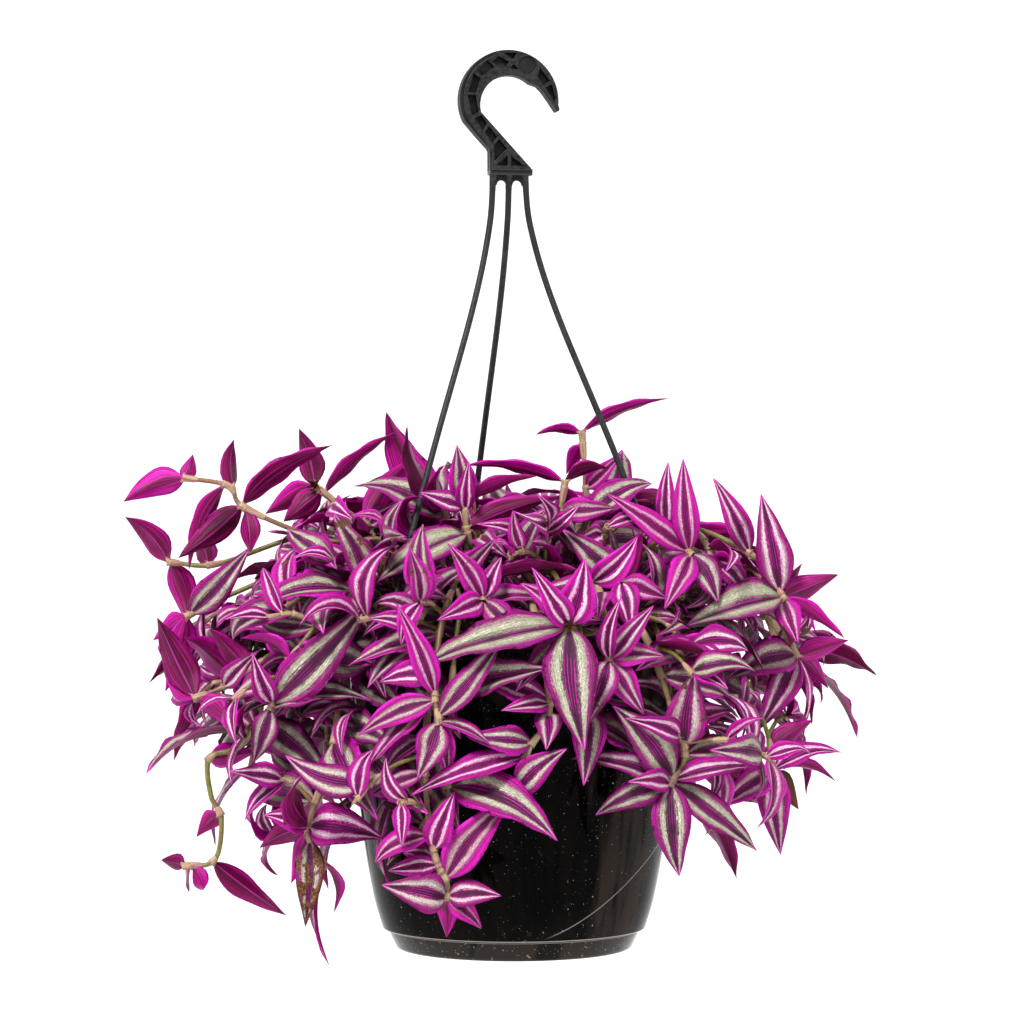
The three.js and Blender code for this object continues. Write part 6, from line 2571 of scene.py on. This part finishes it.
    def _plate(self, outlines: Sequence[Sequence[Point2]], thick: float, bevel: float) -> bpy.types.Mesh:
        """A flat plate with holes and rounded edges.

        Args:
            outlines: the outline and then its holes, in X and Z.
            thick: its thickness in Y.
            bevel: how far its edges are rounded.
        Returns:
            The mesh, in millimetres, centred on Y = 0.
        """
        curve = bpy.data.curves.new("plate", "CURVE")
        curve.dimensions, curve.fill_mode = "2D", "BOTH"
        curve.extrude, curve.bevel_depth, curve.bevel_resolution = thick / 2 - bevel, bevel, 2
        curve.offset = -bevel
        for outline in outlines:
            spline = curve.splines.new("POLY")
            spline.points.add(len(outline) - 1)
            spline.use_cyclic_u = True
            for point, (x, z) in zip(spline.points, outline):
                point.co = (x, z, 0, 1)
        holder = bpy.data.objects.new("plate", curve)
        bpy.context.scene.collection.objects.link(holder)
        graph = bpy.context.evaluated_depsgraph_get()
        made = bpy.data.meshes.new_from_object(holder.evaluated_get(graph), depsgraph=graph)
        bpy.data.objects.remove(holder)
        for vertex in made.vertices:
            x, z, y = vertex.co
            vertex.co = (x, y, z)
        made.flip_normals()
        return made

    def arm_points(self, index: int) -> Array:
        """The line of an arm from the base bar to its clip.

        Args:
            index: which arm.
        Returns:
            Points in millimetres, one in a row.
        """
        turn = math.radians(self.arm_turns[index])
        across = (index - 1) * self.arm_spacing
        start = np.array([across * math.cos(self.turn), across * math.sin(self.turn), self.arm_top])
        end = around(self.arm_reach, turn, self.arm_end)
        points = []
        for drop, spread in self.arm_spread:
            point = start + (end - start) * spread
            point[2] = start[2] + (end[2] - start[2]) * drop
            points.append(point)
        return Route(points).many(np.linspace(0, 1, 49))

    def build(self) -> bpy.types.Object:
        """Makes the hanger in place of its CAD node. Returns the piece."""
        heap = Heap()
        hook = [self._plate([self.outline(), *self.pockets(), self.disc()], self.thick - 1.6, self.bevel),
                self._plate([self.raised(), *self.pockets(), self.disc()], self.thick, self.bevel),
                self._plate([self.outline()], self.web, 0.1),
                self._plate([self.disc()], self.thick - 1.8, 0.1)]
        start, end, top, bottom = self.base
        bar = [(start, bottom), (start, top), (end, top), (end, bottom)]
        hook.append(self._plate([bar], self.base_deep, 0.7))
        hook.append(self._plate([self._gusset(bottom)], 2.4, 0.3))
        for mesh in hook:
            self._take(heap, mesh, self.turn, 1.0)
        tube = Tube(Finish.HANGER, 12)
        for index, degrees in enumerate(self.arm_turns):
            points = self.arm_points(index)
            thick = self.arm_radius * (1 + 0.25 * np.clip(1 - np.linspace(0, 12, len(points)), 0, 1))
            self._take(heap, tube.along(points, thick), 0.0, 1 / MM)
            clip = self._plate([self.clip], self.clip_width, 0.5)
            self._take(heap, clip, math.radians(degrees - 90), 1.0, AXIS_X)
        made = bpy.data.meshes.new("hanger")
        made.from_pydata(np.concatenate(heap.points) * MM, [], heap.faces)
        made.polygons.foreach_set("use_smooth", [True] * len(heap.faces))
        made.materials.append(Finish.HANGER.material())
        made.validate()
        made.set_sharp_from_angle(angle=math.radians(40))
        return shown("ribbed_hanger", made, "hanger", "hanger")

    def _gusset(self, level: float) -> list[Point2]:
        """The outline of the thin plate under the bar, with an arch between the arms.

        Args:
            level: the plate's top.
        Returns:
            Points in X and Z.
        """
        foot = level - 5.3
        points = [(-9.4, foot), (-9.9, level + 1), (9.9, level + 1), (9.4, foot)]
        for middle in (self.arm_spacing / 2, -self.arm_spacing / 2):
            points += self._arc((middle, foot + 0.3, 2.4), 0.0, math.pi, 12)
        return points

    @staticmethod
    def _take(heap: Heap, mesh: bpy.types.Mesh, turn: float, scale: float, shift: float = 0.0) -> None:
        """Adds a mesh to the hanger's pieces, and uses it up.

        Args:
            heap: the hanger's pieces.
            mesh: the mesh.
            turn: its turn about +Z.
            scale: what makes its points millimetres.
            shift: its move along X.
        """
        where = np.empty(len(mesh.vertices) * 3)
        mesh.vertices.foreach_get("co", where)
        x, y, z = (where.reshape(-1, 3) * scale).T
        c, s = math.cos(turn), math.sin(turn)
        points = np.stack([x * c - y * s + shift, x * s + y * c, z], axis=1)
        heap.add(points, [tuple(p.vertices) for p in mesh.polygons], 0, np.zeros(3))
        bpy.data.meshes.remove(mesh)


# --- studio ---------------------------------------------------------------------------------


@dataclass
class Studio:
    """Pale floor that rises into a round wall, soft lights and the camera."""

    floor: float = -0.95
    flat: float = 3.4
    reach: float = 5.2
    wall: float = 3.6
    ambient: float = 0.32

    def build(self) -> None:
        """Makes the stage, the lights and the camera."""
        self._backdrop()
        self._world()
        self._light("key", (-0.9, -2.1, 2.1), 0.8, 122)
        self._light("fill", (2.4, -1.6, 0.5), 1.4, 12)
        self._light("rim", (0.6, 2.4, 1.6), 1.6, 24)
        self._camera()

    def _backdrop(self) -> None:
        """Makes the floor and the wall round it, as one turned sheet."""
        section = [(0.0, self.floor), (1.2, self.floor), (self.flat, self.floor)]
        radius = self.reach - self.flat
        for a in np.linspace(0, math.pi / 2, 13)[1:]:
            section.append((self.flat + radius * math.sin(a), self.floor + radius * (1 - math.cos(a))))
        section.append((self.reach, self.wall))
        sides = 64
        turns = np.linspace(0, TAU, sides, endpoint=False)
        rows = [np.stack([r * np.cos(turns), r * np.sin(turns), np.full(sides, z)], axis=1)
                for r, z in section[1:]]
        points = np.concatenate([*rows, [[0, 0, self.floor]]])
        faces: list[tuple[int, ...]] = list(grid_faces(len(rows), sides, closed=True))
        faces = [tuple(reversed(face)) for face in faces]
        centre = len(points) - 1
        faces += [(centre, j, (j + 1) % sides) for j in range(sides)]
        made = bpy.data.meshes.new("backdrop")
        made.from_pydata(points, [], faces)
        made.polygons.foreach_set("use_smooth", [True] * len(faces))
        made.materials.append(Finish.BACKDROP.material())
        sheet = bpy.data.objects.new("backdrop", made)
        bpy.context.scene.collection.objects.link(sheet)
        sheet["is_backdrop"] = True

    def _world(self) -> None:
        """Makes the even white light from all round."""
        world = bpy.data.worlds.new("studio")
        world.use_nodes = True
        light = world.node_tree.nodes["Background"].inputs
        light["Color"].default_value = (1, 1, 1, 1)
        light["Strength"].default_value = self.ambient
        bpy.context.scene.world = world
        bpy.context.scene.view_settings.view_transform = "Standard"

    def _light(self, name: str, place: tuple[float, float, float], size: float, power: float) -> None:
        """Makes a square soft light that looks at the plant.

        Args:
            name: its name.
            place: where it stands, in metres.
            size: its side in metres.
            power: its power in watts.
        """
        light = bpy.data.lights.new(name, "AREA")
        light.size, light.energy = size, power
        made = bpy.data.objects.new(name, light)
        made.location = place
        made.rotation_euler = (Vector((0, 0, -0.3)) - Vector(place)).to_track_quat("-Z", "Y").to_euler()
        bpy.context.scene.collection.objects.link(made)

    def _camera(self) -> None:
        """Makes the camera at the photograph's place and angle."""
        camera = bpy.data.cameras.new("camera")
        camera.sensor_width = 36
        camera.lens = 36 * EYE_DISTANCE / VIEW_WIDTH
        made = bpy.data.objects.new("camera", camera)
        made.location = (EYE_X * MM, -EYE_DISTANCE * MM, EYE_Z * MM)
        made.rotation_euler = (math.pi / 2, 0, 0)
        bpy.context.scene.collection.objects.link(made)
        bpy.context.scene.camera = made


def corners(limits: Sequence[Vector]) -> list[list[float]]:
    """The two corners of a box as plain numbers."""
    return [list(map(float, corner)) for corner in limits]


def main() -> None:
    """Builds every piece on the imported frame."""
    logging.basicConfig(level=logging.INFO, format="%(name)s: %(message)s")
    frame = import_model()
    packed = corners(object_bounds())
    Studio().build()
    Hanger().build()
    Pot().build()
    Saucer().build()
    Soil().build()
    Foliage(frame["nodes"]).build()
    {"cad": packed, "visual": corners(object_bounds())}


if __name__ == "__main__":
    main()
